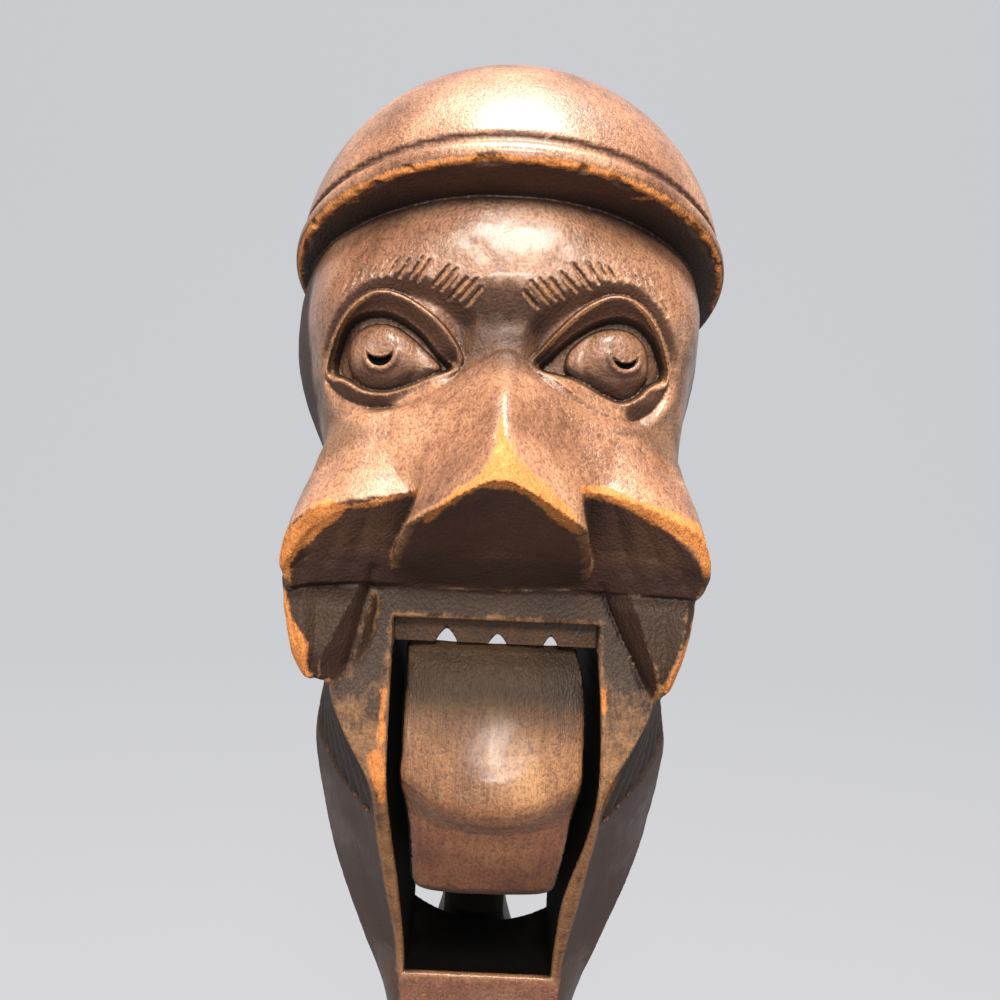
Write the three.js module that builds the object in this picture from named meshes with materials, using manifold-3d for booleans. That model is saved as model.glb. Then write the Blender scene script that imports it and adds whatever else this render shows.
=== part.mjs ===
// A carved walnut lever nutcracker: a head on a front handle, a jaw lever through its slot, and a pin.
// Millimetres, +Z up. X runs across the face, +Y is the back, and the handle ends stand on z = 0.
import * as THREE from 'three';
import { mergeVertices } from 'three/addons/utils/BufferGeometryUtils.js';
import Module from 'manifold-3d';

const wasm = await Module();
wasm.setup();

// Heights, from the foot up
const HANDLE_LENGTH = 84;
const SLOT_FLOOR_UP = 6.6;
const SLOT_HEIGHT = 45.9;
const LIP_HEIGHT = 4.1;
const NOSE_HEIGHT = 27.4;
const EYE_UP = 25.2;
const CAP_UP = 36.6;

// Widths, and reaches to the front and back of the cap's axis
const HEAD_HALF_WIDTH = 22.6;
const BACK_OF_HEAD = 25.5;
const FACE_REACH = 17;
const NOSE_REACH = 34.5;
const GRIP_REACH = 34.5;

// Cap
const CAP_RADIUS = 26.4;
const CAP_RISE = 26;
const CAP_TILT = THREE.MathUtils.degToRad(20);
const CAP_BAND_HEIGHT = 3.2;
const CAP_GROOVE = 0.8;
const CAP_LIP = 0.5;
const CAP_COVE_DEPTH = 0.8;

// Slot, mouth and hinge
const SLOT_TOP_HALF = 11.5;
const SLOT_FLOOR_HALF = 9;
const SLOT_TAPER_HEIGHT = 17.4;
const SLOT_CLEARANCE = 1.1;
const CHIN_CLEARANCE = 0.45;
const HINGE_BACK = 8;
const HINGE_UP = 21.4;
const PIN_RADIUS = 2;
const PIN_FIT = 0.3;
const LEVER_BORE_FIT = 0.35;
const PIN_END_INSET = 1.6;
const TOOTH_LENGTH = 2.2;
const TOOTH_BAR_DEPTH = 5;
const NOTCH_WIDTH = 2;
const NOTCH_HEIGHT = 2;
const NOTCH_SPACING = 5.2;

// Jaw
const JAW_FIT = 0.3;
const JAW_HEIGHT = 29;
const JAW_REACH = 20;
const LIP_RIM_DROP = 5.5;
const LIP_BULGE = 2;
const CHIN_CORNER = 3;

// Handles
const GRIP_HALF_WIDTH = 11.5;
const GRIP_BACK = 13.4;
const GRIP_FRONT = 4.6;
const HANDLE_GAP = 3.8;
const ARM_HALF_WIDTH = 4.6;
const ARM_OFFSET = -1.3;

// How far a cutting shape runs past what it cuts
const OVERRUN = 6;

// Points in each quarter of a rounded outline, and steps across and along the parts
const QUARTER_STEPS = 6;
const CAP_STEPS = 14;
const CAP_SIDES = 48;
const LID_STEPS = 10;
const LID_SIDES = 6;
const ROUND_SIDES = 32;
const BALL_SIDES = 20;
const BALL_RINGS = 12;
const JAW_STATIONS = 8;

const MERGE_SHARE = 1e-7;

const half = (length) => length / 2;

// Levels over the foot
const SLOT_FLOOR = HANDLE_LENGTH + SLOT_FLOOR_UP;
const HINGE_LEVEL = SLOT_FLOOR + HINGE_UP;
const MOUTH_TOP = SLOT_FLOOR + SLOT_HEIGHT;
const TOOTH_EDGE = MOUTH_TOP - TOOTH_LENGTH;
const JAW_TOP = TOOTH_EDGE - JAW_FIT;
const CHIN_LEVEL = JAW_TOP - JAW_HEIGHT;
const NOSE_BASE = MOUTH_TOP + LIP_HEIGHT;
const EYE_LEVEL = NOSE_BASE + EYE_UP;
const CAP_CENTRE = NOSE_BASE + CAP_UP;
const HEAD_HEIGHT = CAP_CENTRE + CAP_RISE - HANDLE_LENGTH;

// The front handle in plan, from the foot up. Each row holds the level as a share of the handle's
// length, the half-width of the flat front as a share of the grip's, how far the front bulges, the
// widest half-width, and how round the front quarter is, from 1, a straight facet, to 2, an ellipse.
const HANDLE_PLAN_SHARES = [
  [0, 0.4, 0.35, 0.8, 2.6],
  [0.03, 0.45, 0.74, 0.9, 2.6],
  [0.3, 0.4, 1, 1, 2.4],
  [0.7, 0.5, 0.87, 0.93, 2.4],
  [0.93, 0.75, 0.66, 0.98, 1.8],
];
// The head in plan, from its base up: the level as a share of the head's height; the half-width of the
// flat front as a share of the head's; how far forward it lies, as a share of the face's reach; how
// far the widest half-width has grown from the grip's to the head's; where that lies, as a share of the
// cap's radius; how far the back has grown from the grip's to the head's; and how round the front is.
const HEAD_PLAN_SHARES = [
  [0, 0.43, 0.176, 0.06, 0.17, 0, 1.3],
  [0.055, 0.44, 0.176, 0.31, 0.17, 0.02, 1.05],
  [0.167, 0.5, 0.63, 0.766, 0.15, 0.42, 1],
  [0.229, 0.535, 0.87, 0.91, 0.12, 0.63, 1],
  [0.292, 0.575, 1.118, 1, 0.075, 0.8, 1.05],
  [0.358, 0.66, 1.08, 0.89, 0, 0.92, 1.15],
  [0.442, 0.72, 1, 0.856, -0.15, 0.98, 1.4],
  [0.475, 0.72, 1, 0.856, -0.2, 0.98, 1.7],
  [0.55, 0.6, 1, 0.84, -0.3, 1, 2.5],
  [0.617, 0.55, 1.06, 0.84, -0.3, 1, 2.8],
  [0.683, 0.5, 1.1, 0.9, -0.3, 1, 3],
  [0.735, 0.42, 1.19, 0.98, -0.28, 1, 2.7],
  [0.78, 0.22, 1.22, 0.946, -0.15, 0.97, 2.3],
  [0.82, 0.08, 1.18, 0.78, -0.02, 0.85, 2],
  [0.87, 0.05, 0.95, 0.4, 0, 0.5, 2],
];
const REAR_ROUND_SHARE = 2.3;

// One quarter of an outline between two points, which lie at its start and end on the axes.
function quarter(startX, startY, endX, endY, round) {
  const points = [];
  for (let i = 0; i <= QUARTER_STEPS; i += 1) {
    const angle = (i / QUARTER_STEPS) * half(Math.PI);
    const along = Math.sin(angle) ** (2 / round);
    const rest = Math.cos(angle) ** (2 / round);
    points.push([startX + (endX - startX) * along, endY + (startY - endY) * rest]);
  }
  return points;
}

// A level outline from the right half of it, front centre to rear centre.
function levelRing(z, rightHalf) {
  const right = rightHalf.map(([x, y]) => new THREE.Vector3(x, y, z));
  const left = rightHalf.slice(1, -1).reverse().map(([x, y]) => new THREE.Vector3(-x, y, z));
  return [...right, ...left];
}

// One level of the head and handle: a flat front, a quarter back to the widest point, and the rear.
function blockRing(z, flat, front, side, sidePlace, rear, round) {
  const ahead = quarter(flat, front, side, sidePlace, round);
  const behind = quarter(0, rear, side, sidePlace, REAR_ROUND_SHARE).reverse().slice(1);
  return levelRing(z, [[0, front], ...ahead, ...behind]);
}

function handleRing([up, flat, bulge, side, round]) {
  return blockRing(
    up * HANDLE_LENGTH, flat * GRIP_HALF_WIDTH, -bulge * GRIP_FRONT, side * GRIP_HALF_WIDTH,
    half(GRIP_BACK - GRIP_FRONT), GRIP_BACK, round,
  );
}

function headRing([up, flat, front, widening, sidePlace, deepening, round]) {
  return blockRing(
    HANDLE_LENGTH + up * HEAD_HEIGHT, flat * HEAD_HALF_WIDTH, -front * FACE_REACH,
    GRIP_HALF_WIDTH + widening * (HEAD_HALF_WIDTH - GRIP_HALF_WIDTH),
    sidePlace * CAP_RADIUS, GRIP_BACK + deepening * (BACK_OF_HEAD - GRIP_BACK), round,
  );
}

// A grip's outline at one level: a rounded bar between a front and a rear face.
function barRing(z, middleX, halfWidth, front, rear, round) {
  const middle = half(front + rear);
  const ahead = quarter(0, front, halfWidth, middle, round);
  const behind = quarter(0, rear, halfWidth, middle, round).reverse().slice(1);
  return levelRing(z, [...ahead, ...behind]).map((p) => p.setX(p.x + middleX));
}

// A closed solid through outlines with as many points each, from the first to the last.
function loft(rings) {
  const count = rings[0].length;
  const vertices = rings.flat();
  const triangles = [];
  for (let r = 0; r < rings.length - 1; r += 1) {
    for (let i = 0; i < count; i += 1) {
      const a = r * count + i;
      const b = r * count + ((i + 1) % count);
      triangles.push(a, b, b + count, a, b + count, a + count);
    }
  }
  const cap = (start, flip) => {
    const centre = new THREE.Vector3();
    for (let i = 0; i < count; i += 1) centre.addScaledVector(vertices[start + i], 1 / count);
    vertices.push(centre);
    for (let i = 0; i < count; i += 1) {
      const a = start + i;
      const b = start + ((i + 1) % count);
      triangles.push(...(flip ? [b, a, vertices.length - 1] : [a, b, vertices.length - 1]));
    }
  };
  cap(0, true);
  cap((rings.length - 1) * count, false);
  const geometry = new THREE.BufferGeometry().setFromPoints(vertices);
  geometry.setIndex(triangles);
  return geometry;
}

// The same shape on the other side of the face.
function mirrored(rings) {
  return rings.map((ring) => ring.map((p) => new THREE.Vector3(-p.x, p.y, p.z)).reverse());
}

// An outline in X and Z, drawn out from a front to a rear.
function frontCut(points, front, rear) {
  const shape = new THREE.Shape(points.map(([x, z]) => new THREE.Vector2(x, z)));
  const geometry = new THREE.ExtrudeGeometry(shape, { depth: rear - front, bevelEnabled: false });
  return geometry.rotateX(half(Math.PI)).translate(0, rear, 0);
}

function solid(geometry) {
  const bare = geometry.clone();
  bare.deleteAttribute('normal');
  bare.deleteAttribute('uv');
  bare.computeBoundingSphere();
  const merged = mergeVertices(bare, bare.boundingSphere.radius * MERGE_SHARE);
  return new wasm.Manifold(new wasm.Mesh({
    numProp: 3,
    vertProperties: new Float32Array(merged.attributes.position.array),
    triVerts: new Uint32Array(merged.index.array),
  }));
}

function join(solids) {
  return solids.reduce((whole, piece) => whole.add(piece));
}

function cut(whole, solids) {
  return solids.reduce((rest, piece) => rest.subtract(piece), whole);
}

function meshOf(name, shape, material) {
  const { vertProperties, triVerts } = shape.getMesh();
  const geometry = new THREE.BufferGeometry();
  geometry.setAttribute('position', new THREE.BufferAttribute(new Float32Array(vertProperties), 3));
  geometry.setIndex(new THREE.BufferAttribute(new Uint32Array(triVerts), 1));
  const mesh = new THREE.Mesh(geometry, material);
  mesh.name = name;
  return mesh;
}

function ball(x, y, z, radiusX, radiusY, radiusZ) {
  return new THREE.SphereGeometry(1, BALL_SIDES, BALL_RINGS)
    .rotateX(half(Math.PI)).scale(radiusX, radiusY, radiusZ).translate(x, y, z);
}

// Cap

// The hair below the cap, as shares of the cap's radius: a ball's place back and down, and its size.
const HAIR_PLACE_SHARE = 0.12;
const HAIR_DROP_SHARE = 0.35;
const HAIR_HALF_WIDTH_SHARE = 0.975;
const HAIR_HALF_DEPTH_SHARE = 0.84;
const HAIR_HALF_HEIGHT_SHARE = 0.98;

// The cap: a dome over a rolled band with a thin groove above it, and a cove cut up behind its edge.
function capSolid() {
  const lip = CAP_RADIUS + CAP_LIP;
  const groove = CAP_RADIUS - CAP_GROOVE;
  const bandTop = half(CAP_BAND_HEIGHT);
  const cove = CAP_COVE_DEPTH - bandTop;
  const profile = [
    [0, cove], [CAP_RADIUS - CAP_BAND_HEIGHT, cove], [groove, -bandTop], [lip, CAP_LIP - bandTop],
    [lip, bandTop - CAP_LIP], [groove, bandTop],
  ].map(([radius, up]) => new THREE.Vector2(radius, up));
  const start = Math.asin((bandTop + CAP_LIP) / CAP_RISE);
  for (let i = 0; i <= CAP_STEPS; i += 1) {
    const angle = start + (half(Math.PI) - start) * (i / CAP_STEPS);
    const radius = i < CAP_STEPS ? CAP_RADIUS * Math.cos(angle) : 0;
    profile.push(new THREE.Vector2(radius, CAP_RISE * Math.sin(angle)));
  }
  const dome = new THREE.LatheGeometry(profile, CAP_SIDES)
    .rotateX(half(Math.PI) - CAP_TILT).translate(0, 0, CAP_CENTRE);
  return solid(dome);
}

function hairSolid() {
  return solid(ball(
    0, CAP_RADIUS * HAIR_PLACE_SHARE, CAP_CENTRE - CAP_RADIUS * HAIR_DROP_SHARE,
    CAP_RADIUS * HAIR_HALF_WIDTH_SHARE, CAP_RADIUS * HAIR_HALF_DEPTH_SHARE,
    CAP_RADIUS * HAIR_HALF_HEIGHT_SHARE,
  ));
}

// Eyes

const EYE_SPACING = 25.8;
const EYE_OFFSET = -1;
const EYE_BALL_RADIUS = 4.4;
const EYE_REACH = 19.9;
const LID_RADIUS = 0.9;
const LID_HALF_LENGTH = 7.7;
const LID_RISE = 6;
const LID_DROP = 5.4;
const SOCKET_DEPTH = 4.6;
// The lids' path: shares of the half-length outwards, of the rise or drop, and of the ball's radius back.
const UPPER_LID_SHARES = [
  [-1, -0.2, 0.27], [-0.55, 0.5, 0.2], [0.1, 1, 0.15], [0.65, 0.65, 0.5], [1, -0.42, 1.25],
];
const LOWER_LID_SHARES = [
  [-1, -0.28, 0.27], [-0.45, -0.75, 0.25], [0.1, -1.05, 0.3], [0.65, -1, 0.6], [1, -0.54, 1.25],
];

function lidTube(side, shares, height) {
  const centre = side * half(EYE_SPACING) + EYE_OFFSET;
  const path = new THREE.CatmullRomCurve3(shares.map(([out, up, behind]) => new THREE.Vector3(
    centre + side * out * LID_HALF_LENGTH,
    behind * EYE_BALL_RADIUS - EYE_REACH,
    EYE_LEVEL + up * height,
  )));
  const section = new THREE.Shape();
  section.absarc(0, 0, LID_RADIUS, 0, 2 * Math.PI);
  return new THREE.ExtrudeGeometry(section, {
    steps: LID_STEPS, extrudePath: path, curveSegments: LID_SIDES, bevelEnabled: false,
  });
}

function eyeSockets() {
  return [-1, 1].map((side) => solid(ball(
    side * half(EYE_SPACING) + EYE_OFFSET, -EYE_REACH - EYE_BALL_RADIUS, EYE_LEVEL,
    LID_HALF_LENGTH, EYE_BALL_RADIUS + SOCKET_DEPTH, LID_RISE,
  )));
}

function eyeBalls() {
  return [-1, 1].map((side) => solid(ball(
    side * half(EYE_SPACING) + EYE_OFFSET, EYE_BALL_RADIUS - EYE_REACH, EYE_LEVEL,
    EYE_BALL_RADIUS, EYE_BALL_RADIUS, EYE_BALL_RADIUS,
  )));
}

function eyeLids() {
  return [-1, 1].flatMap((side) => [
    solid(lidTube(side, UPPER_LID_SHARES, LID_RISE)),
    solid(lidTube(side, LOWER_LID_SHARES, LID_DROP)),
  ]);
}

// Nose, cheeks and moustache

const NOSE_HALF_WIDTH = 10.2;
// The nose from its base up: level, ridge half-width, ridge place, wing half-width and wing place,
// as shares of its height, half-width and reach.
const NOSE_SHARES = [
  [0, 0.5, 0.52, 0.97, 0.5],
  [0.12, 0.45, 0.66, 1, 0.62],
  [0.27, 0.3, 0.84, 0.85, 0.8],
  [0.36, 0.12, 0.95, 0.82, 0.77],
  [0.42, 0.06, 1, 0.8, 0.72],
  [0.7, 0.05, 0.83, 0.62, 0.6],
  [1, 0.04, 0.58, 0.3, 0.52],
];

function noseSolid() {
  const root = -half(FACE_REACH);
  const rings = NOSE_SHARES.map(([up, ridgeShare, ridgePlace, wingShare, wingPlace]) => levelRing(
    NOSE_BASE + up * NOSE_HEIGHT,
    [
      [0, -NOSE_REACH * ridgePlace],
      [NOSE_HALF_WIDTH * ridgeShare, -NOSE_REACH * ridgePlace],
      [NOSE_HALF_WIDTH * wingShare, -NOSE_REACH * wingPlace],
      [NOSE_HALF_WIDTH * wingShare, root],
      [0, root],
    ],
  ));
  return solid(loft(rings));
}

const FLARE_HALF_WIDTH = 22.8;
const FLARE_REACH = 27;
const FLARE_HEIGHT = 19;
// The cheek from the nose outwards: place across, and the level and reach of its edge, then the
// level and reach where its top leaves the face. Shares of the half-width, the height and the reach.
const FLARE_SHARES = [
  [0.2, 0.5, 0.95, 1, 0.6],
  [0.36, 0.5, 0.98, 0.98, 0.6],
  [0.72, 0.44, 0.97, 0.8, 0.56],
  [0.93, 0.26, 0.9, 0.62, 0.46],
  [1, 0.12, 0.82, 0.42, 0.4],
];

function flareRings() {
  return FLARE_SHARES.map(([out, edgeUp, edgeReach, topUp, topReach]) => {
    const x = out * FLARE_HALF_WIDTH;
    const top = NOSE_BASE + topUp * FLARE_HEIGHT;
    const root = -half(topReach * FACE_REACH);
    return [
      new THREE.Vector3(x, -FACE_REACH, NOSE_BASE),
      new THREE.Vector3(x, root, NOSE_BASE),
      new THREE.Vector3(x, root, top),
      new THREE.Vector3(x, -FLARE_REACH * topReach, top),
      new THREE.Vector3(x, -FLARE_REACH * edgeReach, NOSE_BASE + edgeUp * FLARE_HEIGHT),
    ];
  });
}

const MOUSTACHE_DROP = 14.5;
// The moustache from its top down: drop, inner and outer half-width, and the reach of its inner edge,
// its middle and its outer edge. Shares of the drop, the flare's half-width and its reach.
const MOUSTACHE_SHARES = [
  [0, 0.66, 0.97, 0.66, 0.76, 0.6],
  [0.35, 0.68, 0.95, 0.68, 0.78, 0.6],
  [0.7, 0.72, 0.92, 0.69, 0.78, 0.6],
  [0.92, 0.77, 0.88, 0.69, 0.74, 0.6],
  [1, 0.8, 0.85, 0.68, 0.7, 0.6],
];

function moustacheRings() {
  const root = -half(FACE_REACH);
  return MOUSTACHE_SHARES.map(([down, innerShare, outerShare, innerReach, middleReach, outerReach]) => {
    const z = NOSE_BASE + CAP_GROOVE - down * MOUSTACHE_DROP;
    const inner = innerShare * FLARE_HALF_WIDTH;
    const outer = outerShare * FLARE_HALF_WIDTH;
    return [
      new THREE.Vector3(inner, root, z),
      new THREE.Vector3(inner, -FLARE_REACH * innerReach, z),
      new THREE.Vector3(half(inner + outer), -FLARE_REACH * middleReach, z),
      new THREE.Vector3(outer, -FLARE_REACH * outerReach, z),
      new THREE.Vector3(outer, root, z),
    ];
  }).reverse();
}

function bothSides(rings) {
  return [solid(loft(rings)), solid(loft(mirrored(rings)))];
}

// Head, handle and slot

function slotCut() {
  const front = -CAP_RADIUS - OVERRUN;
  const rear = CAP_RADIUS + OVERRUN;
  const taperTop = SLOT_FLOOR + SLOT_TAPER_HEIGHT;
  const outline = (top) => [
    [-SLOT_FLOOR_HALF, SLOT_FLOOR], [SLOT_FLOOR_HALF, SLOT_FLOOR], [SLOT_TOP_HALF, taperTop],
    [SLOT_TOP_HALF, top], [-SLOT_TOP_HALF, top], [-SLOT_TOP_HALF, taperTop],
  ];
  return join([
    solid(frontCut(outline(TOOTH_EDGE), front, rear)),
    solid(frontCut(outline(MOUTH_TOP), front, half(TOOTH_BAR_DEPTH) - FACE_REACH)),
  ]);
}

// The nut's room above the jaw, a ball as shares of the slot's half-width and the cap's radius.
const NUT_ROOM_WIDTH_SHARE = 0.85;
const NUT_ROOM_DEPTH_SHARE = 0.4;
const NUT_ROOM_RISE_SHARE = 0.2;

function nutRoom() {
  const depth = CAP_RADIUS * NUT_ROOM_DEPTH_SHARE;
  return solid(ball(
    0, TOOTH_BAR_DEPTH + depth - FACE_REACH, TOOTH_EDGE,
    SLOT_TOP_HALF * NUT_ROOM_WIDTH_SHARE, depth, CAP_RADIUS * NUT_ROOM_RISE_SHARE,
  ));
}

function toothNotches() {
  const front = -FACE_REACH - OVERRUN;
  const rear = TOOTH_BAR_DEPTH + OVERRUN - FACE_REACH;
  const low = TOOTH_EDGE - NOTCH_HEIGHT;
  const high = TOOTH_EDGE + NOTCH_HEIGHT;
  const narrow = half(half(NOTCH_WIDTH));
  const wide = NOTCH_WIDTH - narrow;
  return [-1, 0, 1].map((place) => {
    const x = place * NOTCH_SPACING;
    return solid(frontCut([
      [x - wide, low], [x + wide, low], [x + narrow, high], [x - narrow, high],
    ], front, rear));
  });
}

function pinBore(radius) {
  const length = 2 * (HEAD_HALF_WIDTH + OVERRUN);
  return solid(new THREE.CylinderGeometry(radius, radius, length, ROUND_SIDES)
    .rotateZ(half(Math.PI)).translate(0, HINGE_BACK, HINGE_LEVEL));
}

function headHandle(material) {
  const block = solid(loft([...HANDLE_PLAN_SHARES.map(handleRing), ...HEAD_PLAN_SHARES.map(headRing)]));
  const bare = cut(join([block, hairSolid(), capSolid()]), eyeSockets());
  const carved = join([
    bare, ...eyeBalls(), ...eyeLids(), noseSolid(),
    ...bothSides(flareRings()), ...bothSides(moustacheRings()),
  ]);
  const whole = cut(carved, [slotCut(), nutRoom(), ...toothNotches(), pinBore(PIN_RADIUS + PIN_FIT)]);
  return meshOf('head_handle', whole, material);
}

// Jaw lever

// The jaw block from the side: forward places as shares of the jaw's reach, heights as shares from
// the chin up to the jaw's top. The last value says how much of the lip's drop the point takes.
const JAW_SIDE_SHARES = [
  [-0.66, 0, 0], [-0.76, 0.05, 0], [-0.81, 0.2, 0], [-0.84, 0.37, 1], [-0.97, 0.42, 1],
  [-1, 0.47, 1], [-0.98, 0.62, 0.5], [-0.9, 0.82, 0], [-0.82, 0.96, 0], [-0.74, 1, 0],
  [0.1, 0.84, 0], [0.42, 0.72, 0], [0.85, 0.48, 0], [0.98, 0.2, 0], [0.9, -0.1, 0], [0.1, -0.1, 0],
];
const RIM_MIDDLE_SHARE = 0.5;

function jawRing(xShare) {
  const aside = xShare * xShare;
  return JAW_SIDE_SHARES.map(([behind, up, rim]) => new THREE.Vector3(
    xShare * SLOT_TOP_HALF,
    behind * JAW_REACH + (behind < 0 ? LIP_BULGE * aside : 0),
    CHIN_LEVEL + up * JAW_HEIGHT - rim * LIP_RIM_DROP * (RIM_MIDDLE_SHARE - aside),
  )).reverse();
}

// The jaw block seen from the front: the slot's width less a clearance, which narrows to the chin.
function jawFrontOutline() {
  const top = SLOT_TOP_HALF - SLOT_CLEARANCE;
  const chin = SLOT_FLOOR_HALF - CHIN_CLEARANCE;
  const low = CHIN_LEVEL - OVERRUN;
  const high = JAW_TOP + OVERRUN;
  return [
    [-chin, low], [chin, low], [chin, CHIN_LEVEL], [top, JAW_TOP], [top, high],
    [-top, high], [-top, JAW_TOP], [-chin, CHIN_LEVEL],
  ];
}

function chinCorners() {
  const chin = SLOT_FLOOR_HALF - CHIN_CLEARANCE;
  return [-1, 1].map((side) => solid(frontCut([
    [side * (chin - CHIN_CORNER), CHIN_LEVEL], [side * (chin - CHIN_CORNER), CHIN_LEVEL - OVERRUN],
    [side * (chin + OVERRUN), CHIN_LEVEL - OVERRUN], [side * (chin + OVERRUN), CHIN_LEVEL + CHIN_CORNER],
    [side * chin, CHIN_LEVEL + CHIN_CORNER],
  ], -CAP_RADIUS, HINGE_BACK)));
}

// The hollow that the nut sits in on top of the jaw.
const NUT_CUP_PLACE_SHARE = -0.16;
const NUT_CUP_WIDTH_SHARE = 0.78;
const NUT_CUP_LENGTH_SHARE = 0.36;
const NUT_CUP_DEPTH_SHARE = 0.22;

// The rear handle from the foot up to where it joins the jaw block: level, half-width, and how far
// its front and rear lie from the gap's face, as shares of the grip's depth.
const REAR_GRIP_SHARES = [
  [0, 0.78, 0.06, 0.86], [0.03, 0.86, 0.02, 0.92], [0.3, 1, 0, 1], [0.62, 0.92, 0, 1],
  [0.84, 0.62, 0, 0.98], [0.95, 0, 0, 0.93], [1.05, 0, -0.04, 0.86], [1.14, 0, -0.3, 0.72],
  [1.24, 0, -0.55, 0.55], [1.34, 0, -0.7, 0.3],
];
const REAR_GRIP_ROUND_SHARE = 2.8;

function leverArm() {
  const gripFront = GRIP_BACK + HANDLE_GAP;
  const gripDepth = GRIP_REACH - gripFront;
  return solid(loft(REAR_GRIP_SHARES.map(([up, width, front, rear]) => barRing(
    up * SLOT_FLOOR,
    ARM_OFFSET * (1 - width),
    ARM_HALF_WIDTH + width * (GRIP_HALF_WIDTH - ARM_HALF_WIDTH),
    gripFront + front * gripDepth,
    gripFront + rear * gripDepth,
    REAR_GRIP_ROUND_SHARE,
  ))));
}

function jawLever(material) {
  const rings = [];
  for (let i = 0; i <= JAW_STATIONS; i += 1) rings.push(jawRing((2 * i) / JAW_STATIONS - 1));
  const trapezoid = solid(frontCut(jawFrontOutline(), -CAP_RADIUS, CAP_RADIUS));
  const block = cut(solid(loft(rings)).intersect(trapezoid), chinCorners());
  const cup = solid(ball(
    0, CAP_RADIUS * NUT_CUP_PLACE_SHARE, JAW_TOP,
    SLOT_TOP_HALF * NUT_CUP_WIDTH_SHARE, CAP_RADIUS * NUT_CUP_LENGTH_SHARE,
    CAP_RADIUS * NUT_CUP_DEPTH_SHARE,
  ));
  const whole = cut(join([block, leverArm()]), [cup, pinBore(PIN_RADIUS + LEVER_BORE_FIT)]);
  return meshOf('jaw_lever', whole, material);
}

function hingePin(material) {
  const length = 2 * (HEAD_HALF_WIDTH - PIN_END_INSET);
  const geometry = new THREE.CylinderGeometry(PIN_RADIUS, PIN_RADIUS, length, ROUND_SIDES)
    .rotateZ(half(Math.PI)).translate(0, HINGE_BACK, HINGE_LEVEL);
  return meshOf('hinge_pin', solid(geometry), material);
}

const walnut = new THREE.MeshStandardMaterial({ color: 0x5a3a2a, roughness: 0.42, metalness: 0 });
const walnutLever = new THREE.MeshStandardMaterial({ color: 0x4f3526, roughness: 0.38, metalness: 0 });
const steel = new THREE.MeshStandardMaterial({ color: 0x8d8c88, roughness: 0.35, metalness: 1 });

const nutcracker = new THREE.Group();
nutcracker.add(headHandle(walnut), jawLever(walnutLever), hingePin(steel));

export default nutcracker;
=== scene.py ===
"""A carved walnut lever nutcracker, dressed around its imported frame.

The head and the jaw lever are carved here as the maker carved them: large forms first, then cuts.
Carving is done in millimetres; pieces are put into the frame in metres.
"""

import math

import bmesh
import bpy
import numpy as np
from mathutils import Matrix, Vector


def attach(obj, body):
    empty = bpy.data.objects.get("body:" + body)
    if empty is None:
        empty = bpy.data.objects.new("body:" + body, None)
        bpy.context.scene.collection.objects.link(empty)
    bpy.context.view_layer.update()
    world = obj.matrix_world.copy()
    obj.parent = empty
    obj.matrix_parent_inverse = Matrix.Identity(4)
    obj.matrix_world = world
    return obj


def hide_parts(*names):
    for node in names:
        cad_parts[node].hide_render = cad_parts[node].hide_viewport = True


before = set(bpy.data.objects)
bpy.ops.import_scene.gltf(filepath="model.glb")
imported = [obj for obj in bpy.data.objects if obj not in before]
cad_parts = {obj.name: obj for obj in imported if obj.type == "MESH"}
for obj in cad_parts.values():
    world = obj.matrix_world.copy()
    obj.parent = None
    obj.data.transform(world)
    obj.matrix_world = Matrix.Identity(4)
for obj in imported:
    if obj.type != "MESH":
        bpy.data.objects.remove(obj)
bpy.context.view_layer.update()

MM = 0.001

# The camera, as the photograph was taken: held level with the eyes, turned a little on its own axis
CAMERA_PLACE = np.array([0.0, -128.0, 150.0])
CAMERA_ROLL = math.radians(2.5)
CAMERA_LENS = 36.0
CAMERA_SENSOR = 36.0
PICTURE_PIXELS = 1000

# Main levels and sizes of the piece, up from the foot and out from the cap's axis
FOOT_LEVEL = 0.02
SLOT_FLOOR = 90.6
HINGE_LEVEL = 112.0
HINGE_BACK = 8.0
MOUTH_TOP = 136.5
JAW_TOP = 134.0
CHIN_LEVEL = 105.0
CAP_CENTRE = np.array([0.0, 0.0, 177.2])
CAP_RADIUS = 26.4
CAP_RISE = 26.0
CAP_TILT = math.radians(20)
PIN_BORE_RADIUS = 2.3
LEVER_BORE_RADIUS = 2.35

# Fineness of the carving: the grid that a form is drawn on, and the room that a block of it needs
GRID_STEP = 0.38
BLOCK_STEPS = 8
BLOCK_MARGIN = 1.7
BLOCKS_AT_ONCE = 1500
SETTLE_STEPS = 3
LEAST_GROWTH = 0.2
PROBE = 0.04
CLOSE_UP_LENGTH = 0.7
LATTICE = 64
FAR = 1e3
TINY = 1e-4


# Tables and maps

def smooth_table(rows, steps=10):
    """Rows of a key and its values, filled in along smooth curves through them."""
    rows = np.array(rows, float)
    keys, values = rows[:, 0], rows[:, 1:]
    slopes = np.gradient(values, keys, axis=0)
    fine = np.concatenate([np.linspace(a, b, steps, endpoint=False) for a, b in zip(keys, keys[1:])]
                          + [keys[-1:]])
    row = np.clip(np.searchsorted(keys, fine, side="right") - 1, 0, len(keys) - 2)
    width = (keys[row + 1] - keys[row])[:, None]
    t = (fine[:, None] - keys[row][:, None]) / width
    bent = ((2 * t ** 3 - 3 * t ** 2 + 1) * values[row] + (t ** 3 - 2 * t ** 2 + t) * width * slopes[row]
            + (3 * t ** 2 - 2 * t ** 3) * values[row + 1] + (t ** 3 - t ** 2) * width * slopes[row + 1])
    return fine, bent


def looked_up(table, key):
    keys, values = table
    return [np.interp(key, keys, column).astype(np.float32) for column in values.T]


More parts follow.
